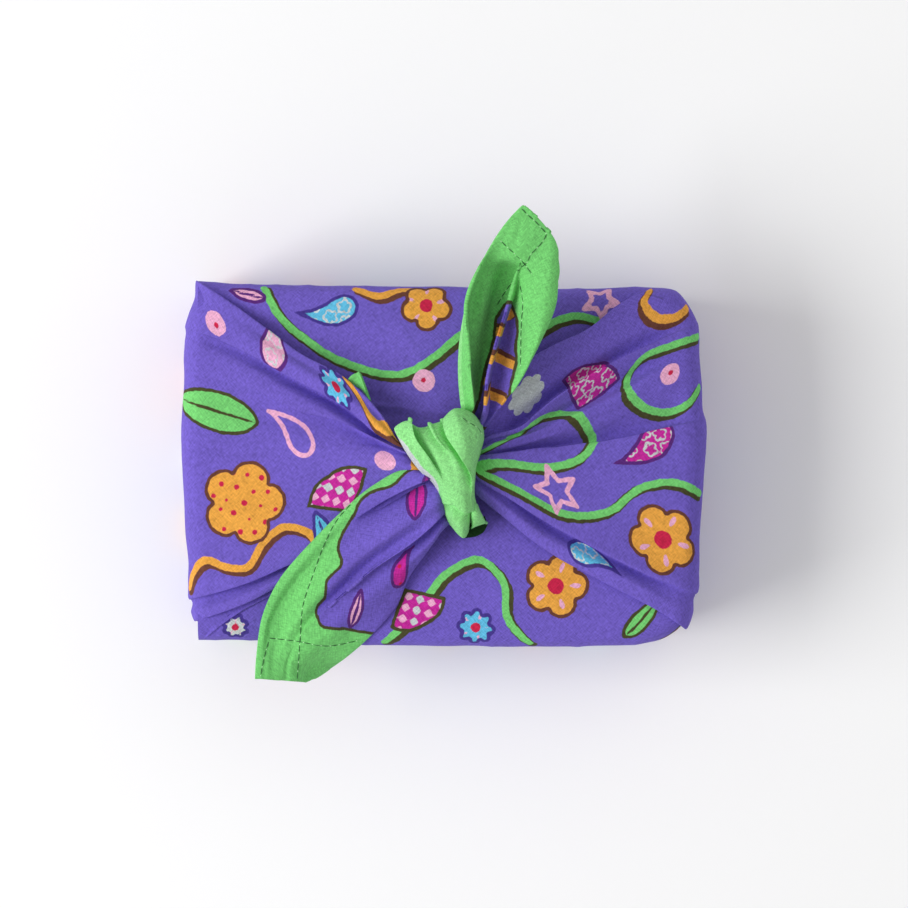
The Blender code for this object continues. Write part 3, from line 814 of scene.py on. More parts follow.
def makeFlaps():
    # both halves joined along the middle of the underside, then pressed down under the gathers
    edges = softLine(flapEdges, 1.0)
    low, high = flapEdges[0][0], flapEdges[-1][0]
    x = np.linspace(low, high, int((high - low) / flap["pitch"]))
    far, near = np.interp(x, edges[:, 0], edges[:, 1]), np.interp(x, edges[:, 0], edges[:, 2])
    nearHalf = flapHalf(x, near, -1, flap["nearHem"], flap["nearLower"])
    farHalf = flapHalf(x, far, 1, flap["farHem"], 0.0)
    grid = np.concatenate([nearHalf[:0:-1], farHalf])
    flat = grid.reshape(-1, 3)
    onTop = flat[:, 2] > bodyTop - flap["shoulder"] - 1
    for rows in (leftPleats, rightPleats):
        edge, last = np.array(rows[0][2:]), np.array(rows[-1][2:])
        loop = np.concatenate([edge[:, :2], last[::-1, :2]])
        loop[[0, -1], 0] = flap["pressedOut"] * np.sign(loop[0, 0])
        press = flap["underGathers"] * smooth(-loopDistance(flat[:, :2], loop), *flap["pressedFrom"])
        flat[:, 2] -= np.where(onTop, press, 0.0)
    v = lengthStep(grid, 0)
    v = v - v[len(nearHalf) - 1]
    uv = np.stack([grid[..., 0], v], -1)
    sheetPrint = printPattern(grid, uv, flapMotifs, flapRibbons, scatter=5)
    return clothPiece("flapCloth", grid, uv, sheetPrint, 0.0, inner=(*bodyMiddle, bodyTop / 2))


# gathers: the left and right corners, up the short walls and over the top to the knot

gather = {
    "along": 0.66, "across": 0.5,       # mm between points along and across the folds
    "tuck": 0.5,                        # how far a crease slides under its lip
    "edgeTurn": (2.6, 1.5),             # the folded edge: inward, down
    "pastShoulder": 10,                 # first point of each line that lies on the top
    "foot": [(9.0, 0.5), (3.2, 0.5), (2.0, 0.8), (0.9, 1.6), (0.4, 2.8)],   # inset and level
    "wallFrom": 4.6, "wallPitch": 1.9,
    "wallShare": 0.8,                   # the top's relief fades down the wall as height ** this
    "wallFolds": 0.5,                   # mm
    "lastAngle": 81,                    # degrees round the shoulder before the top's own lines
    "fadeIn": (14, 6),                  # points before and after the shoulder where relief sets in
    # amount, cell across, cell along, added to the seed: all over, towards the knot, far from it
    "soft": [(0.32, 9.0, 30.0, 0), (0.10, 4.0, 6.0, 1)],
    "tight": [(0.45, 3.2, 22.0, 2), (0.22, 1.8, 10.0, 3)],
    "loose": [(0.28, 3.0, 11.0, 4)],
}

leftPleats = [
    ("edge", "edge", (-73.9, 49, 0.3), (-59.8, 39.4, 2.2), (-43, 27.1, 4.6), (-29.5, 19.6, 6.8),
     (-18.7, 8.8, 9.5), (-12.4, 0.1, 11), (-8.8, -0.8, 8)),
    ("facet", "soft", (-74.8, 43.9, 0.1), (-60.1, 35.8, 2.6), (-42.4, 24.1, 5.4), (-28.9, 16.6, 7.9),
     (-18.4, 6.7, 10.3), (-12.4, -0.2, 11.6), (-8.8, -1.1, 8.6)),
    ("crest", "soft", (-76.4, 38.8, 0.4), (-60.1, 31.3, 3.8), (-42.1, 21.4, 7.2), (-29.2, 14.2, 9.4),
     (-19.3, 5.5, 11.4), (-12.1, -0.8, 12), (-8.5, -1.7, 9)),
    ("roll lip", "over next", (-77.3, 34.9, 0.5), (-61, 27.7, 3.5), (-43.3, 18.4, 6.5), (-29.5, 10.9, 8.7),
     (-20.2, 3.1, 10.6), (-11.8, -1.4, 11.6), (-8.2, -2.3, 8.8)),
    ("roll crease", "soft", (-77.5, 33.1, 0.1), (-61.3, 26.3, 1.4), (-43.9, 16.7, 2.7), (-30.7, 9.2, 3.7),
     (-20.5, 2, 6.8), (-11.5, -1.9, 10.3), (-7.9, -2.9, 8.2)),
    ("shelf", "soft", (-77.5, 30.7, 0.4), (-61.6, 24.5, 2.6), (-44.5, 14.6, 4.9), (-30.7, 7.3, 6.9),
     (-20.2, 1.6, 9.2), (-11.2, -2.3, 11), (-7.6, -3.2, 8.4)),
    ("small lip", "over next joined", (-77.8, 24.4, 0.4), (-61, 17.5, 2.5), (-43.9, 10, 4.7),
     (-30.1, 6.2, 7.3), (-19.9, 1.1, 10.3), (-10.6, -3.1, 11.8), (-7, -3.8, 8.8)),
    ("small crease", "soft", (-77.8, 22.6, 0.3), (-60.7, 15.7, 2), (-43.6, 8.8, 3.8), (-29.8, 4.9, 5.1),
     (-19.3, 0.1, 6.8), (-10.3, -3.7, 9.4), (-6.7, -4.4, 7.8)),
    ("broad", "soft", (-78.4, 4, 0.6), (-59.8, 1, 3), (-43, -0.8, 5), (-28, -3.2, 7.6), (-16.6, -5.3, 10),
     (-7.3, -7.1, 11.8), (-3.7, -7.4, 9)),
    ("soft crease", "soft", (-78.1, -19.4, -0.1), (-61, -17.6, 1.6), (-43, -15.8, 3.2), (-28, -14.6, 5.4),
     (-15.1, -11.6, 8.4), (-4.9, -9.2, 10.6), (-1.6, -9.2, 8.4)),
    ("low fold", "soft", (-77.2, -27.5, 0.5), (-61, -26, 2.7), (-43, -21.2, 4.5), (-28, -18.2, 6.4),
     (-14.5, -13.4, 9), (-4, -10.4, 10.8), (-0.7, -10.1, 8.4)),
    ("crease five", "soft", (-76.6, -35.6, 0.2), (-61, -34.7, 1.9), (-43.3, -28.7, 3.5),
     (-28.6, -22.4, 5.5), (-14.5, -15.2, 8.4), (-3.4, -11.2, 10.4), (-0.1, -10.7, 8)),
    ("low crest", "soft", (-76.3, -42.5, 0.6), (-61.3, -39.5, 3), (-43.6, -32.3, 4.7), (-29.2, -25.1, 6.4),
     (-14.5, -16.4, 8.2), (-3.2, -11.5, 10.3), (0.1, -11, 8)),
    ("low lip", "over next", (-76.1, -47, 0.4), (-61.3, -43.1, 2.9), (-43.6, -35.3, 4.5),
     (-29.5, -26.9, 6.2), (-14.5, -17.2, 8), (-3.1, -11.6, 10.2), (0.2, -11.3, 8)),
    ("low crease", "soft", (-76, -48.7, -0.4), (-61, -44.2, 0.3), (-43.3, -36.2, 0.8), (-28.9, -27.8, 2.6),
     (-13.9, -18.1, 5.4), (-2.8, -12.2, 8.7), (0.5, -11.9, 7.4)),
    ("tube", "soft", (-75.5, -50.9, 0.5), (-60.7, -46.3, 3), (-43, -38.2, 4.2), (-28.3, -29.3, 4.8),
     (-13.6, -19.4, 6.8), (-2.2, -13.4, 9), (1.1, -12.8, 7.2)),
    ("tube lip", "over next", (-74.5, -53.6, 0.3), (-61.3, -49, 2.6), (-43.9, -40.1, 3.2),
     (-28, -30.8, 3.8), (-13.4, -20.6, 5.6), (-1.9, -14.3, 8.2), (1.4, -13.7, 6.8)),
    ("tube crease", "soft", (-74, -54.8, -0.7), (-61.1, -49.7, 0.4), (-43.7, -40.6, 0.8),
     (-27.8, -31.6, 1.8), (-13.3, -21.2, 4), (-1.7, -14.8, 7.3), (1.6, -14.2, 6.2)),
    ("near edge", "edge", (-72.4, -59, -0.4), (-60.7, -50.6, 0.6), (-43.6, -41.6, 1), (-27.7, -32.9, 2.2),
     (-13.3, -22.1, 4), (-1.6, -15.5, 7), (1.7, -14.9, 5.6)),
]

rightPleats = [
    ("edge", "edge", (62.6, 46.9, 0.3), (53, 41.8, 1.9), (44, 34.9, 4.6), (33.5, 29.8, 6.8),
     (23, 23.5, 7.8), (13.4, 12.1, 9.2), (9.5, 5.8, 7)),
    ("facet", "soft", (69.8, 46, 0.2), (59.6, 39.4, 2.8), (46.1, 31.9, 4.6), (34.1, 25.9, 6.8),
     (23.3, 19.6, 8.6), (13.4, 10, 9.8), (9.7, 4.4, 7.6)),
    ("hollow", "soft", (74, 41.2, 0.1), (60.8, 34.6, 2.2), (46.1, 27.1, 4), (32.9, 19.6, 5.8),
     (21.8, 12.1, 7.8), (13.6, 7, 9.4), (9.8, 2.8, 7.6)),
    ("under lip", "soft", (75.8, 37.9, 0.1), (61.1, 31.1, 0.6), (46.1, 23.5, 0.6), (31.7, 14.5, 1.6),
     (21.5, 5.9, 4.6), (13.6, 3.8, 8), (10, 1.1, 7.4)),
    ("lip", "over previous", (76.3, 36.1, 0.4), (62, 29.9, 4.2), (47, 22.3, 7.2), (32.6, 12.8, 9),
     (22.4, 4.7, 10), (14, 2.3, 11), (10.3, 0.4, 8.8)),
    ("slope", "soft", (76.6, 31.9, 0.5), (62, 26.2, 3.1), (47.3, 18.4, 5.2), (32.9, 10.6, 7),
     (22.7, 3.5, 9.2), (14.3, 1.4, 10.4), (10.4, -0.2, 8.4)),
    ("second crease", "soft", (77, 28.6, 0.1), (62, 22.7, 1.3), (47.6, 14.8, 2.4), (33.2, 8.2, 4.4),
     (23, 2.8, 8), (14.5, 0.7, 9.6), (10.6, -0.8, 8)),
    ("second crest", "soft", (76.7, 26.2, 0.5), (62.3, 20.5, 3.6), (48.2, 12.4, 5.7), (33.5, 6.2, 7.4),
     (23.3, 1.9, 9.6), (14.6, -0.2, 10.8), (10.7, -1.4, 8.6)),
    ("long slope", "soft", (77.6, 17.5, 0.3), (62.6, 13.3, 2.6), (47.6, 7, 4.2), (33.2, 2.8, 6),
     (23.3, 0.4, 8.6), (14.6, -1.4, 10), (10.7, -2.2, 8)),
    ("third crease", "soft", (78.2, 9.1, 0.2), (62.6, 5.2, 0.8), (47.9, 2.2, 1.2), (33.2, 0.4, 2.6),
     (23, -1.1, 6), (14.6, -2.3, 8.8), (10.7, -2.9, 7.6)),
    ("third crest", "over previous", (78.4, 7.6, 0.5), (62.6, 4, 3.3), (48.2, 1, 5), (33.2, -1.1, 6.8),
     (23, -2.3, 9.4), (14.3, -3.5, 10.8), (10.6, -3.8, 8.4)),
    ("broad", "soft", (77.9, -11, 0.5), (62.6, -10.1, 3), (47.6, -9.5, 4.8), (32.6, -8.6, 7),
     (22.4, -7.4, 9.6), (13.7, -5.9, 11.2), (10, -5.3, 8.6)),
    ("soft crease", "soft", (77.3, -30.5, -0.2), (62.3, -27.8, 1.4), (47.3, -23.6, 3), (32.3, -18.2, 5),
     (21.8, -14, 7.8), (12.5, -8.9, 9.8), (8.9, -7.1, 8)),
    ("low fold", "soft", (76.7, -38.6, 0.4), (62, -34.4, 2.6), (47, -29.3, 4), (32, -21.8, 5.6),
     (21.2, -15.8, 8), (11.9, -10.4, 10), (8.3, -8.3, 8)),
    ("low lip", "over next", (76, -45.2, 0.4), (62, -39.5, 3.1), (47, -32.3, 4.6), (31.4, -23.9, 5.2),
     (20.6, -17, 7.4), (11.6, -11.6, 9.6), (8, -9.2, 7.6)),
    ("low crease", "soft", (75.8, -47, -0.3), (62, -41, 0.4), (47, -33.8, 1.2), (31.1, -25.1, 1.8),
     (20.3, -18.1, 4.8), (11.3, -12.4, 8.1), (7.7, -10.1, 6.8)),
    ("tube", "soft", (74.9, -50.9, 0.4), (61.4, -44.6, 2.6), (47, -37.1, 3.6), (30.5, -28.1, 4.4),
     (19.7, -20.3, 6.4), (11, -14, 8.6), (7.4, -11.3, 6.8)),
    ("near edge", "edge", (73.1, -56, -0.2), (60.5, -47.9, 1.2), (46.1, -40.7, 1.6), (29.9, -31.7, 2.4),
     (19.1, -23, 4), (10.4, -16.1, 7), (6.8, -13.1, 5.4)),
]


def drawnIn(plan, inset):
    # towards the body's middle, by the inset at each side
    return plan - (plan - bodyMiddle) / bodyHalf * inset


def overShoulder(grid):
    # up the wall from under the foot, round the shoulder, then the rest of each line; the relief
    # at the shoulder fades towards the foot in proportion to height
    start, onTop = grid[:, 0], grid[:, gather["pastShoulder"]]
    rise, shoulder = start[:, 2] - bodyTop, flap["shoulder"]
    outward = np.array([np.sign(start[0, 0]), 0.0])
    columns = []
    levels = np.arange(gather["wallFrom"], bodyTop - shoulder, gather["wallPitch"])
    for inset, z in gather["foot"] + [(0.0, z) for z in levels]:
        plan = drawnIn(start[:, :2], inset + flap["tuck"] * (1 - z / bodyTop))
        if z > 2:
            folds = gather["wallFolds"] * noise(start[:, 1] + z * 0.25, start[:, 1] * 0 + z, 8.0, 30.0, 15)
            out = rise * (z / bodyTop) ** gather["wallShare"] + folds * np.sin(np.pi * z / bodyTop)
            plan = plan + out[:, None] * outward
        columns.append(np.column_stack([plan, np.full(len(plan), z)]))
    inland = onTop[:, :2] - start[:, :2]
    reach = np.linalg.norm(inland, axis=1)
    for a in np.radians(np.arange(0, gather["lastAngle"] + 1, flap["shoulderStep"])):
        share = shoulder * (1 - np.cos(a)) / reach
        lift = rise * (1 - share) + (onTop[:, 2] - bodyTop) * share
        height = bodyTop - shoulder * (1 - np.sin(a)) + lift * np.sin(a)
        plan = start[:, :2] + inland * share[:, None] + (lift * np.cos(a))[:, None] * outward
        columns.append(np.column_stack([plan, height]))
    return np.concatenate([np.stack(columns, 1), grid[:, gather["pastShoulder"]:]], 1), len(columns)


def makeGather(name, rows, motifs, ribbons, seed):
    # a pleated corner with its wall; share runs from 0 at the shoulder to 1 at the knot
    grid, panel = pleatedGrid(rows, gather["tuck"], gather["along"], gather["across"], gather["edgeTurn"])
    grid, column = overShoulder(grid)
    uv = clothCoordinates(grid, panel, column)
    inward = -np.sign(grid[0, 0, 0])        # the lines' own coordinate starts from x at the shoulder
    uv[..., 1] += (inward * grid[:, column, 0] - uv[:, column, 1])[:, None]
    place = np.arange(grid.shape[1])
    share = np.clip((place - column) / (grid.shape[1] - column), 0, 1)
    onTop = smooth(place, column - gather["fadeIn"][0], column + gather["fadeIn"][1])
    grid = relief(grid, uv, onTop, gather["soft"], seed)
    grid = relief(grid, uv, share ** 1.2, gather["tight"], seed)
    grid = relief(grid, uv, onTop * (1 - share) ** 2, gather["loose"], seed)
    sheetPrint = printPattern(grid, uv, motifs, ribbons, scatter=seed)
    return clothPiece(name, grid, uv, sheetPrint, 0.0)


# knot

knot = {
    "along": 0.42, "across": 0.4,
    "tuck": 0.9, "nubTuck": 0.45,
    "thickness": 0.35,
    "bandRelief": [(0.16, 5.0, 16.0, 0), (0.06, 1.8, 7.0, 1)],
    "nubRelief": [(0.12, 3.0, 7.0, 0)],
    "hollowRelief": [(0.1, 3.0, 5.0, 0)],
    "sliverReach": 1.3,                 # mm of pale cloth that shows along the left flank
    "sliverFrom": (-22.0, -8.0), "sliverTo": (-4, 1),   # in y and -y, where it widens and narrows
}

bandPleats = [
    ("sliver", "soft", (-14.2, 3.4, 9), (-14.6, 3.5, 11), (-12.4, -0.8, 13), (-7.3, -8, 14),
     (-2.5, -13, 12), (-1.6, -16.4, 9.5), (-1.2, -17.9, 8.6), (-1.1, -18.5, 8.2), (0.1, -21.5, 6.5),
     (1.7, -24.1, 4.5)),
    ("left edge", "soft", (-14.2, 4.6, 10), (-14.8, 4.5, 14), (-12.2, 0.4, 17), (-6.7, -6.4, 18),
     (-1.7, -12.5, 15.2), (-1, -16.3, 12.8), (-0.6, -17.9, 12.08), (-0.5, -18.2, 10.36), (0.7, -21.7, 9),
     (2, -24.4, 6)),
    ("ear", "soft", (-12.4, 5.8, 10), (-11.5, 6.5, 15.6), (-10.6, 1.3, 18), (-5.6, -5.9, 19),
     (-0.8, -12.5, 16.8), (-0.1, -16.4, 15), (0.2, -18.1, 14.28), (0.3, -18.4, 12.44), (1.1, -22, 11.2),
     (2.2, -24.7, 7.2)),
    ("first lip", "over next", (-9.9, 6.1, 10), (-9.6, 7, 15.4), (-8.4, 1.6, 20), (-4, -4.7, 20.8),
     (0.2, -12.4, 17.8), (1, -16.4, 16.2), (1.4, -18.2, 15.9), (1.4, -18.1, 12.5), (1.8, -22.1, 11.8),
     (2.4, -24.8, 7.6)),
    ("first crease", "soft", (-8.9, 4.9, 9), (-8.9, 4.7, 12.4), (-7.3, 1, 15.2), (-2.8, -5, 18.4),
     (1.1, -12.2, 18.2), (1.9, -16.4, 16.8), (2.4, -18.2, 16.6), (2.4, -18.1, 13.2), (2.1, -22.3, 12.4),
     (2.5, -25, 8)),
    ("second panel", "soft", (-6.7, 4.3, 9), (-6.8, 4.7, 14.6), (-4.6, 0.7, 18.8), (-0.7, -4.7, 20.8),
     (2.6, -12.2, 18.8), (3.2, -16.6, 17.6), (3.6, -18.5, 17.5), (3.6, -18.4, 14.1), (2.8, -22.6, 13.8),
     (2.8, -25.4, 8.8)),
    ("ridge crease", "soft", (-4.9, 4.6, 9), (-4.9, 5, 15), (-2.8, 0.8, 19.2), (1.1, -3.5, 21.4),
     (3.8, -12.1, 19.1), (4.3, -16.7, 17.9), (4.7, -19.7, 17.7), (4.7, -19.6, 14.3), (4, -23.3, 13.6),
     (3.8, -26.6, 9)),
    ("second ridge", "over previous", (-4.3, 5.3, 9), (-4.3, 5.5, 16.8), (-1.9, 1, 21), (1.9, -3.5, 22.2),
     (4.7, -11.9, 19.2), (5.2, -16.9, 18), (5.7, -20.3, 17.7), (5.7, -20.2, 14.3), (5, -23.9, 13.6),
     (4.9, -27.7, 8.8)),
    ("third panel", "soft", (-2.8, 5.8, 9), (-2.8, 5.6, 16.6), (-1, 1.6, 20.6), (2.9, -3.7, 22.4),
     (5.9, -11.8, 18.9), (6.2, -16.9, 17.8), (6.8, -20.7, 17.5), (6.7, -20.6, 14.1), (6.1, -24.5, 12.8),
     (5.7, -28.3, 8.4)),
    ("dome crease", "soft", (-1, 6.1, 9), (-1, 5.8, 14.8), (0.2, 1.9, 18.6), (4.1, -4.1, 20.8),
     (7.6, -11.5, 17.6), (7.4, -17, 16.8), (7.9, -20.6, 16.5), (7.8, -20.5, 13.1), (7, -24.7, 11),
     (6.5, -28.3, 7.6)),
    ("dome lip", "over previous", (-0.5, 6.4, 9), (-0.5, 6.4, 18.4), (0.8, 2, 23.2), (4.6, -3.7, 24.4),
     (8.6, -11, 19), (8.3, -16.9, 15.8), (8.8, -20.2, 15.3), (8.6, -20, 11.9), (7.7, -24.4, 9),
     (7.1, -27.7, 6.4)),
    ("dome crest", "soft", (3.5, 10, 9), (3.5, 10, 19), (5, 4.6, 25.4), (7, -1.1, 24.6), (9, -10.3, 17.4),
     (8.8, -16.7, 13.8), (9.3, -19.6, 12.8), (8.8, -20.8, 10.4), (8.1, -23.9, 7), (7.5, -26.9, 5.2)),
    ("dome side", "soft", (7.7, 9.4, 8), (7.7, 9.2, 17.5), (9.4, 4, 22.6), (9.4, -1.4, 20.6),
     (9.4, -9.7, 14), (9.2, -16.4, 11.6), (9.6, -18.8, 10.8), (9, -20.3, 8.8), (8.3, -23.5, 5.4),
     (7.8, -26.3, 3.8)),
    ("right edge", "soft", (11.3, 6.4, 6), (11.5, 5.2, 12), (11.9, 2.2, 13.8), (11, -2, 13),
     (9.6, -9.2, 9.6), (9.4, -16.1, 8.4), (9.8, -18.2, 8), (9.2, -20, 6.6), (8.4, -23.2, 4),
     (7.9, -26, 2.6)),
    ("right foot", "soft", (11.6, 5.8, 3), (11.9, 4.3, 6), (12.2, 1.3, 7), (11.3, -2.6, 6.6),
     (9.8, -9.5, 5), (9.4, -16.1, 4.4), (9.8, -18.2, 4.2), (9.3, -19.9, 3.4), (8.5, -23, 2),
     (7.9, -25.9, 1.6)),
]

nubPleats = [
    ("slit", "soft", (8, -17.9, 9), (8.1, -19.4, 11.2), (8.2, -21.5, 11.4), (8.4, -23.6, 9.6),
     (8.5, -25.7, 7.4), (8.5, -25.4, 4.5)),
    ("left crest", "soft", (8.6, -17.6, 10.5), (8.8, -19.3, 13), (8.9, -21.4, 13), (9.2, -23.3, 11.4),
     (9.3, -25.2, 8.8), (9.3, -24.8, 6)),
    ("crest", "soft", (9.4, -17.6, 10.8), (9.7, -19.3, 13), (10, -21.2, 13), (10.4, -23, 11.2),
     (10.7, -24.6, 8.8), (10.6, -24.2, 6)),
    ("right crest", "soft", (10, -17.9, 9.5), (10.4, -19.6, 11.4), (11.2, -21.4, 11.2), (11.8, -22.9, 9.8),
     (12.2, -24.1, 7.8), (12, -23.7, 5.4)),
    ("right edge", "soft", (10.3, -18.2, 7), (10.9, -19.9, 8.2), (11.7, -21.5, 8), (12.4, -22.9, 7),
     (12.9, -24, 5.8), (12.5, -23.5, 4.2)),
    ("right foot", "soft", (10.3, -18.4, 3), (11, -20.2, 3), (11.9, -21.8, 2.8), (12.6, -23.2, 2.4),
     (13, -24.1, 2), (12.6, -23.7, 1.5)),
]

# a cup under the nub, coloured all over in painted shade for the shadow there
hollowCup = [
    ("left", "soft", (7.7, -24.2, 6), (7.3, -26, 5), (6.8, -27.8, 5.2), (6.5, -28.5, 5.8)),
    ("middle", "soft", (9.2, -23.3, 5.6), (9.5, -25.4, 4.6), (10, -27.2, 4.2), (10.2, -27.8, 4.2)),
    ("near right", "soft", (11, -22.7, 5.4), (11.5, -24.5, 4.4), (12, -26, 3.8), (12.2, -26.5, 3.6)),
    ("right", "soft", (12.5, -21.8, 4.8), (12.8, -23, 4), (13.1, -24.1, 3.6), (13.3, -24.4, 3.4)),
]


def makeKnotPart(name, rows, tuck, layers, seed, thickness, fill="reverse", pale=False):
    # all border, in the given fill: by default the paler green of the cloth's other face, which on the knot
    # is also painted highlight; the cup's fill is painted shade
    grid, panel = pleatedGrid(rows, tuck, knot["along"], knot["across"])
    uv = clothCoordinates(grid, panel, grid.shape[1] // 2)
    grid = relief(grid, uv, 1.0, layers, seed)
    sheetPrint = borderPrint(grid.shape[0] * grid.shape[1])
    sheetPrint["borderFill"][:] = ink[fill]
    if pale:                    # along the left flank a pale printed patch shows
        plan = asRead(grid.reshape(-1, 3))
        flank = softLine([row[:2] for row in rows[0][2:]], 0.5)
        fade = smooth(plan[:, 1], *knot["sliverFrom"]), smooth(-plan[:, 1], *knot["sliverTo"])
        sheetPrint["patchDistance"] = pathDistance(plan, flank) - knot["sliverReach"] * fade[0] * fade[1]
    return clothPiece(name, grid, uv, sheetPrint, thickness)


def makeKnot():
    # the band over the crossing, the small fold at its lower end, and under that a cup coloured in painted
    # shade
    return (makeKnotPart("knotBand", bandPleats, knot["tuck"], knot["bandRelief"], 31, knot["thickness"],
                         pale=True),
            makeKnotPart("knotNub", nubPleats, knot["nubTuck"], knot["nubRelief"], 41, knot["thickness"]),
            makeKnotPart("knotPaintedShade", hollowCup, 0.0, knot["hollowRelief"], 42, 0.0, fill="hollow"))


# free ends

freeEnd = {
    "along": 0.6, "across": 0.42, "tuck": 0.8,
    "thickness": 0.5,
    "relief": [(0.22, 8.0, 22.0, 0), (0.10, 2.6, 9.0, 1)],
    "groundPitch": 1.5,                 # mm a step of the ground's outline
}

farEnd = [
    ("outer strip", "soft", (6.8, 4.6, 7), (5.6, 9.1, 10), (4.6, 19.6, 13), (5.2, 32.5, 16.5),
     (6.7, 41.2, 19), (10.3, 52, 22.5), (13.7, 58.3, 25), (17.9, 64.7, 27.2), (20.6, 68.2, 28.1),
     (23.2, 70.9, 28.6)),
    ("left rim", "soft", (8, 4.6, 9), (9.2, 9.7, 14), (8.3, 20.5, 20), (7.3, 32.5, 23.5), (6.9, 42.1, 25.2),
     (10.6, 52.4, 26.9), (14, 58.7, 27.8), (18.2, 65.2, 28.5), (20.8, 68.4, 28.8), (23.3, 71.1, 29)),
    ("left wall", "soft", (8.5, 4.4, 8.5), (9.6, 9.4, 11), (9.1, 19.9, 13), (8.5, 31.6, 15),
     (9.2, 42.1, 17.4), (12.7, 52.4, 22.2), (16.3, 58, 26.6), (19.7, 64.4, 28.6), (21.5, 68, 28.9),
     (23.4, 71.2, 29)),
    ("wall ridge", "soft", (8.8, 4.3, 8), (10.1, 9.1, 10), (10.1, 19.6, 10.2), (11, 31.6, 12.2),
     (11.9, 42.1, 17.6), (14.8, 52.3, 21), (18.1, 57.1, 26.2), (21.1, 63.7, 28.6), (22.4, 67.6, 28.9),
     (23.6, 71.3, 29)),
    ("deep valley", "soft", (9.1, 4.1, 7.6), (10.6, 8.8, 9.6), (11.2, 19.3, 8.6), (13.3, 31.3, 9.2),
     (15.4, 42.1, 12), (18.5, 52.3, 17.8), (20.2, 56.2, 26), (22.6, 63.2, 28.3), (23.5, 67.3, 28.9),
     (23.7, 71.4, 29)),
    ("strip foot", "soft", (9.5, 4, 7.6), (11, 8.6, 10), (11.7, 19.1, 9), (14.5, 31, 9.8),
     (17.9, 41.8, 13.6), (20.9, 52, 19.2), (22.1, 55.6, 26.1), (23.9, 62.6, 28.4), (24.5, 67, 28.9),
     (23.8, 71.5, 29)),
    ("rolled strip", "over previous", (9.8, 3.8, 9.4), (12.1, 8.5, 14.6), (13.1, 19, 17.6), (16.1, 31, 19),
     (19.4, 41.8, 20.2), (22.1, 51.4, 22.4), (23.6, 55.3, 26.1), (25.3, 62, 28.4), (25.6, 66.7, 28.8),
     (23.9, 71.5, 29)),
    ("strip crease", "soft", (10.3, 3.7, 8), (13.1, 8.2, 10.6), (14.9, 18.7, 11.2), (17.9, 30.7, 12.2),
     (20.6, 41.2, 15.8), (23.3, 51.1, 22.4), (24.5, 55.3, 26.2), (26.6, 61.9, 28.4), (26.6, 66.7, 28.8),
     (24, 71.5, 29)),
    ("inner panel", "soft", (10.6, 3.5, 8), (13.6, 8, 11), (17.6, 18.4, 12.6), (20, 30.7, 13.4),
     (21.7, 41.2, 17.2), (24.2, 51.1, 23), (25.7, 55.6, 26.3), (27.8, 62, 28.3), (27.4, 67, 28.8),
     (24.1, 71.4, 29)),
    ("hem line", "soft", (11, 3.4, 8), (14.2, 7.9, 11.6), (20, 18.1, 14.6), (22.7, 30.4, 16),
     (23.3, 41.5, 20), (25.7, 51.4, 24.2), (27.2, 55.9, 26.4), (29.2, 62.3, 28.2), (28, 67.1, 28.7),
     (24.1, 71.4, 29)),
    ("right flank", "soft", (11.5, 3.2, 8), (14.8, 8, 12), (21.2, 17.8, 18), (25.7, 29.5, 20.8),
     (27.2, 41.5, 23.4), (29.3, 51.7, 25.6), (30.5, 57.4, 26.8), (30.7, 63.1, 28.1), (28.5, 67.2, 28.6),
     (24.2, 71.3, 28.9)),
    ("right crest", "soft", (11.6, 3.1, 7.6), (15.4, 8.3, 11.6), (22.3, 17.8, 18.6), (28.1, 29.8, 22.2),
     (31.1, 41.8, 24.6), (32.3, 52, 26.1), (32.6, 58.6, 27), (31.6, 63.2, 28), (28.7, 67.2, 28.5),
     (24.3, 71.2, 28.8)),
    ("right rim", "soft", (11.8, 2.8, 6.6), (15.8, 8.6, 10.4), (22.7, 18.4, 17.4), (29.3, 31, 21),
     (33.7, 42.1, 23), (34.7, 52.6, 24.6), (34.1, 58.9, 26.1), (32.2, 63.3, 27.75), (28.8, 67.1, 28.45),
     (24.3, 71.2, 28.8)),
    ("right underside", "soft", (11.3, 2.8, 5), (15.1, 8.3, 7.6), (22.1, 17.8, 14.2), (28.4, 30.1, 18.2),
     (32.6, 41.8, 20.4), (33.8, 52.6, 22.4), (33.2, 58.9, 24.4), (31.5, 63, 26.9), (28.4, 66.9, 27.8),
     (24.2, 71, 28)),
]

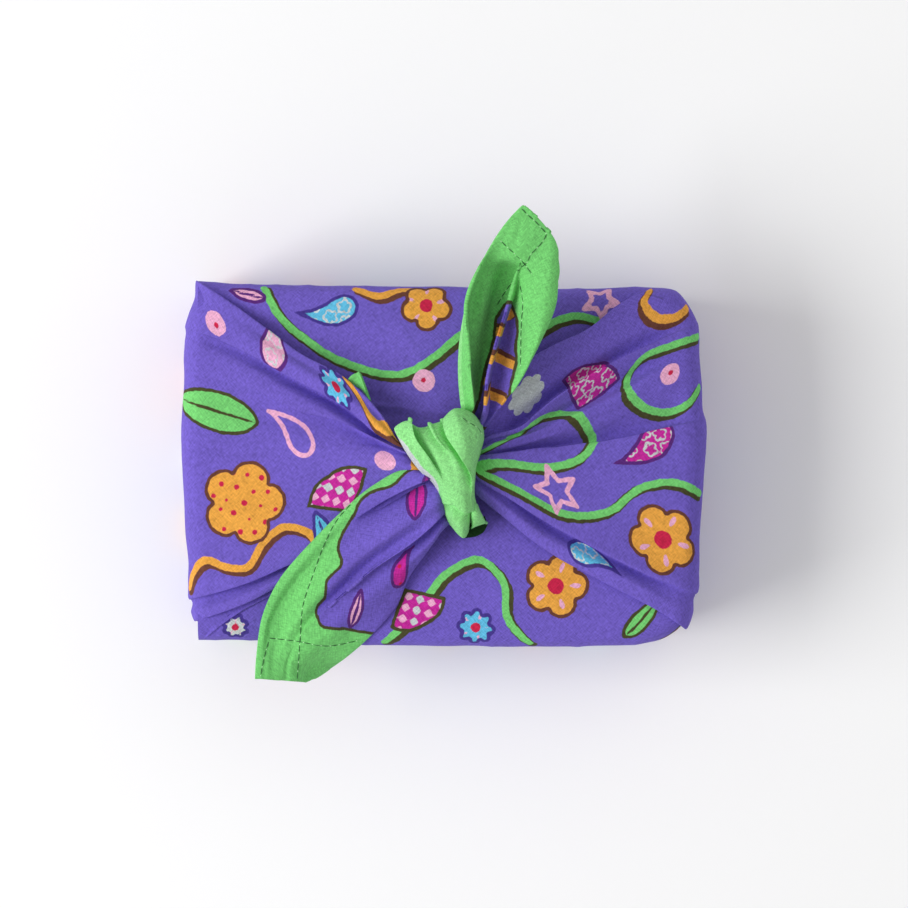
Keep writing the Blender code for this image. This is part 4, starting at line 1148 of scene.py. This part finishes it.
nearEnd = [
    ("upper underside", "soft", (-2.2, -8, 5.6), (-5.8, -9.2, 7), (-11.2, -9.5, 6), (-19.9, -13.7, 5.4),
     (-30.7, -22.7, 4.6), (-40.9, -33.2, 4), (-48.7, -42.8, 4.4), (-53.5, -53, 3.8), (-55.4, -65.3, 3.4),
     (-55.9, -70.6, 2.8)),
    ("upper edge", "soft", (-1.6, -7.4, 9), (-5.2, -8.3, 12), (-12.1, -8, 10.6), (-20.8, -12.5, 9.4),
     (-31.6, -21.5, 7.8), (-41.8, -32, 7.4), (-49.6, -41.6, 6.6), (-54.4, -52.4, 5.8), (-56.2, -65, 5),
     (-56.5, -70.7, 4.2)),
    ("upper fold", "soft", (-1, -8.3, 10), (-4.3, -9.2, 13.6), (-11.8, -11, 12), (-19.9, -15.2, 11),
     (-30.1, -23, 9.4), (-40, -33.4, 8.6), (-47.8, -42.8, 7.2), (-52.7, -53, 6.2), (-54.7, -65, 5.3),
     (-55, -70.7, 4.4)),
    ("first lip", "over next joined", (-0.7, -9.5, 10.6), (-3.7, -10.4, 14.4), (-11.5, -14, 12.8),
     (-18.7, -17.9, 10.8), (-27.7, -23.9, 9.1), (-37.9, -34.4, 7.6), (-46, -43.9, 5.9), (-51.4, -53.6, 4.9),
     (-53.5, -65.3, 4.9), (-53.8, -70.8, 4.2)),
    ("first crease", "soft", (-0.1, -11, 8.4), (-2.8, -11.9, 10.3), (-10.6, -15.7, 7.6),
     (-17.8, -19.4, 7.2), (-26.8, -25, 8.95), (-37, -35.3, 7.45), (-45.1, -44.9, 5.75),
     (-50.5, -54.2, 4.75), (-52.6, -65.6, 4.75), (-52.9, -70.9, 4.05)),
    ("main lip", "soft", (0.8, -12.8, 9.5), (-1.6, -14, 12.4), (-10.6, -18.2, 10.6), (-16.9, -22.1, 9.8),
     (-25.6, -27.2, 9.2), (-35.8, -37.1, 8.1), (-43.9, -46.4, 6.2), (-49, -55.7, 4.6), (-51.4, -65.9, 4.2),
     (-51.7, -71, 3.6)),
    ("main fold", "soft", (1.4, -15.8, 9.8), (-1, -17.6, 14), (-9.4, -23.3, 13), (-15.7, -27.5, 12),
     (-23.8, -33.5, 10.4), (-33.4, -42.5, 8.8), (-41.5, -50.3, 7.2), (-46.6, -57.8, 5.5),
     (-49.3, -66.5, 3.8), (-49.6, -71.2, 3)),
    ("soft valley", "soft", (1.7, -17.9, 9), (-0.7, -20, 12.8), (-7.6, -25.7, 10.8), (-14.2, -30.2, 9),
     (-22, -35.9, 7.4), (-31.3, -44.6, 6), (-39.7, -52.7, 5.6), (-44.5, -59.3, 4.8), (-47.8, -67.1, 3.3),
     (-48.4, -71.2, 2.6)),
    ("second lip", "over next joined", (2, -20, 8.8), (-0.4, -22.1, 12.2), (-5.8, -27.1, 11.6),
     (-12.1, -31.9, 10.9), (-21.1, -38, 9.6), (-31, -46.4, 8.1), (-39.4, -53.9, 6.6), (-43.9, -59, 5.1),
     (-46.9, -66.5, 2.9), (-47.2, -71.3, 1.9)),
    ("second crease", "soft", (2.5, -21.2, 6.6), (0.1, -23.3, 8.6), (-4.6, -28.7, 7.4), (-10.6, -33.5, 7),
     (-19.6, -39.8, 7.4), (-29.5, -47.9, 7.4), (-37.9, -55.4, 6.3), (-42.7, -60.4, 4.95),
     (-46, -67.4, 2.75), (-46, -71.4, 1.75)),
    ("outer fold", "soft", (2.9, -22.4, 6.6), (0.5, -24.2, 9.4), (-4, -30.1, 8.6), (-10.3, -35.8, 8.2),
     (-17.8, -42.1, 7.6), (-27.4, -50.3, 6.9), (-35.5, -57.5, 5.9), (-40.6, -62.2, 4.2),
     (-43.9, -67.6, 1.4), (-44.2, -71.5, 0.6)),
    ("outer slope", "soft", (3.2, -23, 6), (1, -24.8, 8.4), (-3.9, -31.1, 7.6), (-9.8, -37.9, 6.2),
     (-15.7, -45.8, 4.4), (-23.8, -53.5, 3.2), (-31.6, -60.5, 1), (-37, -65, -3.6), (-40.9, -69.1, -4.6),
     (-42.5, -71.6, -3)),
    ("lower edge", "soft", (3.5, -23.3, 5.4), (1.1, -25.1, 7.6), (-4, -31.7, 6.4), (-9.7, -39.5, 4),
     (-14.2, -49.1, 1.2), (-20.8, -56.6, 0.4), (-28.1, -63.2, -5), (-33.5, -67.1, -12), (-38.3, -70.3, -10),
     (-41.2, -71.6, -6.5)),
    ("lower underside", "soft", (2.9, -23, 3.6), (0.5, -24.8, 6), (-4.6, -31.4, 4.4), (-10.3, -38.9, 2.4),
     (-15.1, -48.2, 0.4), (-21.7, -55.7, 0.2), (-28.9, -62.3, -6.2), (-34.3, -66.2, -13.2),
     (-38.9, -69.6, -11.2), (-41.6, -71.2, -7.6)),
]

# plan outline of the violet ground on each end; the rest is the green border
farGround = [(15.2, 37.6), (20, 43), (21.8, 39.4), (22.7, 34), (22.1, 29.5), (22.4, 25),
             (21.2, 19.6), (20.3, 15.4), (17, 6), (12, 4), (8.6, 6), (10.7, 14.5), (11.6, 20.5),
             (13.1, 25.9), (14.6, 31)]
nearGround = [(8, -8), (-10.2, -7.6), (-11.8, -8.7), (-13.2, -10.2), (-15.4, -12.2), (-19.3, -13.4),
              (-22.5, -14.7), (-25.4, -17.2), (-27, -21), (-30.6, -26.6), (-32, -31.4), (-31, -36),
              (-35.4, -41), (-36, -46), (-38.6, -49.6), (-36.8, -55), (-29, -56.2), (-20, -57.5),
              (0, -50), (8, -30)]
# seams of each end, in plan
farSeams = [
    [(23.3, 70.6), (25.4, 68.5), (27.5, 66.7), (29.9, 64), (31.1, 62.5), (29.9, 60.7), (28.4, 58.9),
     (26.3, 56.8), (24.5, 53.5), (23, 52.6), (21.5, 49.6), (20, 47.5), (18.5, 45.4), (16.1, 41.5)],
    [(15.5, 62.5), (18.8, 59.2), (21.5, 56.8), (23.6, 54.7), (26.6, 50.8)],
    [(23, 47.5), (23.6, 45.1), (23.9, 42.1), (23.5, 37), (23.3, 31), (23.3, 26.5), (23.2, 22.6)],
]
nearSeams = [
    [(-43.9, -71), (-43, -59), (-42.1, -48.5), (-39.1, -39.5), (-35.8, -30.5), (-31.9, -23),
     (-27.4, -17.9)],
    [(-52.6, -58.4), (-44.5, -59.3), (-35.2, -60.8), (-24.7, -59)],
    [(-52.4, -59.3), (-53.8, -64.4), (-55, -70.4)],
]
domeSeam = [[(5.3, 7.9), (8.3, 5.8), (10.4, 4.6), (11.6, 2.8)]]


def makeEnd(name, rows, ground, motifs, ribbons, seed, reverse=0):
    # border outside the ground's outline; so many first lines show the cloth's other face
    grid, panel = pleatedGrid(rows, freeEnd["tuck"], freeEnd["along"], freeEnd["across"])
    uv = clothCoordinates(grid, panel, grid.shape[1] // 2)
    lengths = np.stack([lengthStep(grid, 0), uv[..., 1]], axis=-1)     # runs on over the folds
    grid = relief(grid, lengths, 1.0, freeEnd["relief"], seed)
    sheetPrint = printPattern(grid, uv, motifs, ribbons)
    outline = softLine(ground + ground[:1], freeEnd["groundPitch"])[:-1]
    sheetPrint["borderDistance"] = -loopDistance(asRead(grid.reshape(-1, 3)), outline)
    other = grid.shape[1] * reverse
    sheetPrint["borderFill"][:other] = ink["reverse"]
    sheetPrint["borderDistance"][:other] = printing["all"]
    return clothPiece(name, grid, uv, sheetPrint, freeEnd["thickness"])


# hem stitches: each an arched thread, round * radius across it and rise * sin(pi t) along it

stitch = {
    "pitch": 2.7, "first": 0.2, "last": 2.15,   # mm along a seam; the last begins this far from its end
    # offset, length, radius, rise, tone: the thread, and a pale glint in the needle hole after it, a painted
    # highlight
    "kinds": [(0.0, 2.15, 0.15, 0.16, 0.0), (2.15 + 0.12, 0.34, 0.13, 0.10, 1.0)],
    "sink": 0.06,                   # how deep the ends go into the cloth
    "taper": 0.35,                  # share of the radius left at the ends
    "around": 6, "steps": 6,
    "heightWeight": 0.02,           # of two layers under one point, the upper one is sewn
    "thread": linear(40, 96, 44), "glint": linear(206, 236, 200),
    "twist": 6000.0, "twistShare": 0.25, "roughness": 0.6,
}


def stitchMesh(starts, stops, up, radius, rise):
    # all stitches at once: (stitch, step, round) points
    t = np.linspace(0, 1, stitch["steps"] + 1)[None, :, None]
    along = stops - starts
    along = along / (np.linalg.norm(along, axis=1, keepdims=True) + smallLength)
    side = np.cross(along, up)
    arch = np.sin(np.pi * t)
    middle = starts[:, None] * (1 - t) + stops[:, None] * t + up[:, None] * (rise * arch - stitch["sink"])
    a = np.arange(stitch["around"]) * 2 * np.pi / stitch["around"]
    ringSize = radius * (stitch["taper"] + (1 - stitch["taper"]) * arch ** 0.5)
    ring = side[:, None, None] * np.cos(a)[:, None] + up[:, None, None] * np.sin(a)[:, None]
    points = middle[:, :, None] + ring * ringSize[..., None]
    count, steps, around = points.shape[:3]
    base = (np.arange(count)[:, None, None] * steps + np.arange(steps - 1)[None, :, None]) * around
    k = np.arange(around)[None, None, :]
    faces = np.stack([base + k, base + (k + 1) % around, base + around + (k + 1) % around,
                      base + around + k], -1).reshape(-1, 4)
    return points.reshape(-1, 3), faces


def hemStitches(name, cloth, seams):
    # stitches along the seams, each on the cloth's highest point near it, and pale dots in the gaps as
    # painted highlights
    count = len(cloth.data.vertices)
    where = np.empty(count * 3, np.float32)
    normal = np.empty(count * 3, np.float32)
    cloth.data.vertices.foreach_get("co", where)
    cloth.data.vertices.foreach_get("normal", normal)
    where, normal = where.reshape(-1, 3) / mm, normal.reshape(-1, 3)
    seen = asRead(where)
    points, faces, tones, at = [], [], [], 0
    for seam in seams:
        line = softLine(seam, 0.5)
        run = lengthStep(line, 0)
        begins = np.arange(stitch["first"], run[-1] - stitch["last"], stitch["pitch"])
        for offset, length, radius, rise, tone in stitch["kinds"]:
            ends = []
            for add in (0.0, length):
                plan = np.column_stack([np.interp(begins + offset + add, run, line[:, k]) for k in (0, 1)])
                near = ((seen[None] - plan[:, None]) ** 2).sum(-1)
                best = (near - stitch["heightWeight"] * where[None, :, 2]).argmin(axis=1)
                ends.append((seenFromAbove(np.column_stack([plan, where[best, 2]])), normal[best]))
            up = ends[0][1] * np.sign(ends[0][1][:, 2:] + smallLength)
            mesh, quads = stitchMesh(ends[0][0], ends[1][0], up, radius, rise)
            points.append(mesh)
            faces.append(quads + at)
            tones.append(np.full(len(mesh), tone))
            at += len(mesh)
    mesh = bpy.data.meshes.new(name)
    mesh.from_pydata((np.concatenate(points) * mm).tolist(), [], np.concatenate(faces).tolist())
    mesh.shade_smooth()
    mesh.attributes.new("threadTone", "FLOAT", "POINT").data.foreach_set(
        "value", np.concatenate(tones).astype(np.float32))
    mesh.materials.append(stitchThread)
    return placed(name, mesh)


def makeStitchThread():
    # dark green thread, with its pale glints in the needle holes as painted highlights, and fine twist from
    # noise
    material, tree, shader = newMaterial("stitchThread")
    tone = addNode(tree, "ShaderNodeAttribute", attribute_name="threadTone").outputs["Fac"]
    colour = mixColour(tree, tone, stitch["thread"], stitch["glint"])
    position = addNode(tree, "ShaderNodeTexCoord").outputs["Object"]
    twist = addNode(tree, "ShaderNodeTexNoise")
    setInputs(twist, {"Scale": stitch["twist"]})
    tree.links.new(position, twist.inputs["Vector"])
    colour = mixColour(tree, stitch["twistShare"], colour, twist.outputs["Color"], "SOFT_LIGHT")
    tree.links.new(colour, shader.inputs["Base Color"])
    setInputs(shader, {"Roughness": stitch["roughness"]})
    return material


stitchThread = makeStitchThread()

# the folded hem corner that peeps out behind the left gather
hemCorner = {"along": 0.4, "across": 0.4, "thickness": 0.4}
hemTipRows = [
    ("left", "soft", (-28.6, 19.2, 6.4), (-27.4, 20.4, 7), (-25.6, 21.4, 7.2)),
    ("crease", "soft", (-27.4, 17.4, 5.6), (-26.2, 19.4, 6.6), (-25.5, 21.5, 7.6)),
    ("middle", "soft", (-25, 16.4, 6.4), (-24.6, 18.6, 7.2), (-25.3, 21.4, 7.7)),
    ("fold", "soft", (-22.6, 13.6, 6.8), (-23.6, 17, 7.2), (-25, 21.2, 7.2)),
    ("right", "soft", (-21.6, 12.6, 5.6), (-22.9, 16.4, 6), (-24.6, 20.9, 6.4)),
]


def makeHemTip():
    # all border, without a tuck
    grid, panel = pleatedGrid(hemTipRows, 0.0, hemCorner["along"], hemCorner["across"])
    uv = clothCoordinates(grid, panel, 2)
    return clothPiece("hemTip", grid, uv, borderPrint(grid.shape[0] * grid.shape[1]), hemCorner["thickness"])


# the print's layout: kind, x, y, size, turn, fill, rim, marks inside

flapMotifs = [
    ("drop", -34, 38, 9.5, 150, "sky", "navy", "blossoms"),
    ("flower", -5, 41, 8, 15, "orange", "brown", "heart"),
    ("leaf", -59, 45, 6, 12, "rose", "plum", "vein"),
    ("disc", -6, 19, 3.4, 0, "rose", "rose", "dots"),
    ("starLine", 47, 42.5, 5.5, 12, "rose", "rose", ""),
    ("fan", -8, -50, 8.5, 60, "magenta", "olive", "check"),
    ("flower", 34, -43, 10, 0, "orange", "brown", "heart"),
    ("leaf", 60, -52, 8, 140, "green", "olive", "vein"),
    ("daisy", 10, -55, 6, 140, "sky", "navy", "heart"),
    ("daisy", -62.5, -55, 4.4, 20, "pale", "navy", "heart"),
]
flapRibbons = [
    ("green", "olive", 2.2, [(-54, 50), (-50, 40), (-40, 30), (-26, 23), (-12, 21),
                             (-2, 26), (6, 33), (16, 36)]),
    ("green", "olive", 2.2, [(22, 22), (28, 33), (38, 38), (50, 37), (60, 40),
                             (66, 50)]),
    ("green", "olive", 2.2, [(-18, -66), (-8, -50), (2, -38), (11, -35), (18, -42),
                             (19, -52), (26, -66)]),
    ("orange", "brown", 2.4, [(-26, 50), (-20, 44), (-12, 46), (-8, 50)]),
]
leftMotifs = [
    ("flower", -60, -18, 13, 20, "orange", "brown", "dots"),
    ("leaf", -69, 10, 15, 76, "green", "olive", "vein"),
    ("dropLine", -44, 4, 8, 200, "rose", "rose", ""),
    ("fan", -31, -14, 9.5, 215, "magenta", "olive", "check"),
    ("drop", -50, 30, 10, 150, "rose", "plum", "blossoms"),
    ("disc", -68, 36, 3.4, 0, "rose", "rose", "dots"),
    ("daisy", -32, 17, 6, 0, "sky", "navy", "heart"),
    ("disc", -17.5, -5, 3.4, 0, "rose", "rose", ""),
    ("leaf", -36, -27, 8, 28, "sky", "navy", "vein"),
]
leftRibbons = [
    ("orange", "brown", 2.3, [(-77.6, -43), (-75, -39), (-71, -35), (-65, -37), (-59, -37),
                              (-54, -30), (-48, -25), (-42, -26), (-34, -32)]),
    ("orange", "brown", 2.3, [(-26, 24), (-26, 15), (-22, 8), (-16, 4), (-11, -2),
                              (-10, -10)]),
]
rightMotifs = [
    ("drop", 62, -2, 11, 28, "magenta", "plum", "blossoms"),
    ("flower", 66, -29, 11, 8, "orange", "brown", "heart"),
    ("fan", 44, 20, 10, 205, "magenta", "plum", "blossoms"),
    ("daisy", 25, 14.5, 6.5, 0, "pale", "pale", ""),
    ("starLine", 34, -14, 7, 14, "rose", "rose", ""),
    ("drop", 45, -33, 9, 250, "sky", "navy", "blossoms"),
    ("disc", 68, 21, 3.2, 0, "rose", "rose", "dots"),
]
rightRibbons = [
    ("green", "olive", 2.2, [(77.4, 32), (74, 31), (67, 29), (59, 25), (55, 18),
                             (58, 12), (66, 9.5), (73, 11.5), (77.6, 17)]),
    ("green", "olive", 2.2, [(10, -3), (20, 1.5), (30, 8), (38, 9), (44, 3), (42, -4),
                             (32, -7), (20, -6), (10, -8)]),
    ("orange", "brown", 2.4, [(60, 50), (60, 42), (64, 37.5), (71, 38.5), (75, 42)]),
    ("green", "olive", 2.2, [(10, -8), (22, -14), (36, -21), (50, -20), (60, -13),
                             (70, -12), (77.6, -15)]),
]
farMotifs = []
farRibbons = [
    ("orange", "brown", 2.6, [(26, 46), (19.5, 38), (13, 33)]),
    ("orange", "brown", 2.6, [(14, 29), (19, 24), (25, 21)]),
    ("orange", "brown", 2.6, [(8, 20), (15, 14), (20, 11)]),
]
nearMotifs = [
    ("drop", -13, -37, 7, 215, "magenta", "plum", "dots"),
    ("leaf", -8, -15, 9, 30, "magenta", "plum", "vein"),
    ("leaf", -26, -50, 6, 60, "rose", "plum", "vein"),
]
nearRibbons = []

flapCloth = makeFlaps()
leftGather = makeGather("leftGather", leftPleats, leftMotifs, leftRibbons, 21)
rightGather = makeGather("rightGather", rightPleats, rightMotifs, rightRibbons, 51)
knotBand, knotNub, knotPaintedShade = makeKnot()
farTail = makeEnd("farEnd", farEnd, farGround, farMotifs, farRibbons, 61, reverse=6)
nearTail = makeEnd("nearEnd", nearEnd, nearGround, nearMotifs, nearRibbons, 71)
hemTip = makeHemTip()
farStitches = hemStitches("farEndStitches", farTail, farSeams)
nearStitches = hemStitches("nearEndStitches", nearTail, nearSeams)
knotStitches = hemStitches("knotStitches", knotBand, domeSeam)
print("cloth made")

# how the pieces belong to the frame

sheets = [
    (flapCloth, 0.146, 0.330, "folded", ["wrap_cloth"], []),
    (leftGather, 0.112, 0.1145, "gathered", ["flapCloth"], [hemTip]),
    (rightGather, 0.114, 0.1157, "gathered", ["flapCloth"], []),
    (knotBand, 0.0425, 0.042, "folded", ["leftGather", "rightGather"], [knotStitches, knotPaintedShade]),
    (knotNub, 0.0112, 0.0100, "folded", ["knotBand"], []),
    (farTail, 0.040, 0.075, "folded", ["knotBand"], [farStitches]),
    (nearTail, 0.040, 0.081, "folded", ["knotBand"], [nearStitches]),
]
for piece, width, length, held, under, carried in sheets:
    for item in [piece] + carried:
        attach(item, "root")
        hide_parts("wrap_cloth")

# floor, light and camera

studio = {
    "floorTone": 0.95, "floorRoughness": 0.9, "skyTone": 1.0, "skyStrength": 0.54,
    "floorReach": 4.0, "sweepFrom": 2.0, "sweep": 0.4,                  # m
    "softbox": (32.0, 1.2, (-1.55, -0.20, 1.30)),                       # watts, size, place
    "fill": (0.6, 0.9, (0.5, 0.3, 0.9)),
    "lampsFace": (0.0, 0.0, 0.04),
}


def makeFloor():
    # level out to where the sweep begins, then rising as sweep (r - sweepFrom)^2
    material, _, shader = newMaterial("paleFloor")
    setInputs(shader, {"Base Color": (studio["floorTone"],) * 3 + (1,),
                       "Roughness": studio["floorRoughness"], "Specular IOR Level": 0.2})
    r = np.concatenate([[0.0001], np.linspace(0.2, studio["floorReach"], 40)])[:, None]
    a = np.linspace(0, 2 * np.pi, 97)[None, :]
    height = studio["sweep"] * np.clip(r - studio["sweepFrom"], 0, None) ** 2
    grid = np.stack([r * np.cos(a), r * np.sin(a), height + 0 * a], -1)
    mesh = bpy.data.meshes.new("floor")
    mesh.from_pydata(grid.reshape(-1, 3).tolist(), [], gridQuads(*grid.shape[:2])[:, ::-1].tolist())
    mesh.shade_smooth()
    mesh.materials.append(material)
    placed("floor", mesh)


def makeLamp(name):
    # a square lamp turned about x and z so that it faces the cloth
    watts, size, at = studio[name]
    lamp = bpy.data.lights.new(name, "AREA")
    lamp.shape = "SQUARE"
    lamp.size = size
    lamp.energy = watts
    item = placed(name, lamp)
    item.location = at
    direction = np.array(studio["lampsFace"]) - np.array(at)
    item.rotation_euler = (np.arctan2(np.hypot(direction[0], direction[1]), -direction[2]), 0,
                           np.arctan2(direction[1], direction[0]) - np.pi / 2)


def makeCamera():
    # straight above the cloth, as in the photo
    eye = bpy.data.cameras.new("eye")
    eye.lens = camera["lens"]
    eye.sensor_width = 36.0
    eye.clip_start, eye.clip_end = 0.01, 30.0
    item = placed("eye", eye)
    item.location = (camera["middleX"] * mm, camera["middleY"] * mm,
                     (camera["level"] + camera["height"]) * mm)
    bpy.context.scene.camera = item


makeFloor()
makeLamp("softbox")
makeLamp("fill")
makeCamera()
world = bpy.context.scene.world or bpy.data.worlds.new("studio")
bpy.context.scene.world = world
world.use_nodes = True
sky = world.node_tree.nodes["Background"]
sky.inputs["Color"].default_value = (studio["skyTone"],) * 3 + (1,)
sky.inputs["Strength"].default_value = studio["skyStrength"]
bpy.context.scene.view_settings.view_transform = "Standard"
bpy.context.scene.view_settings.look = "None"
print("studio made")
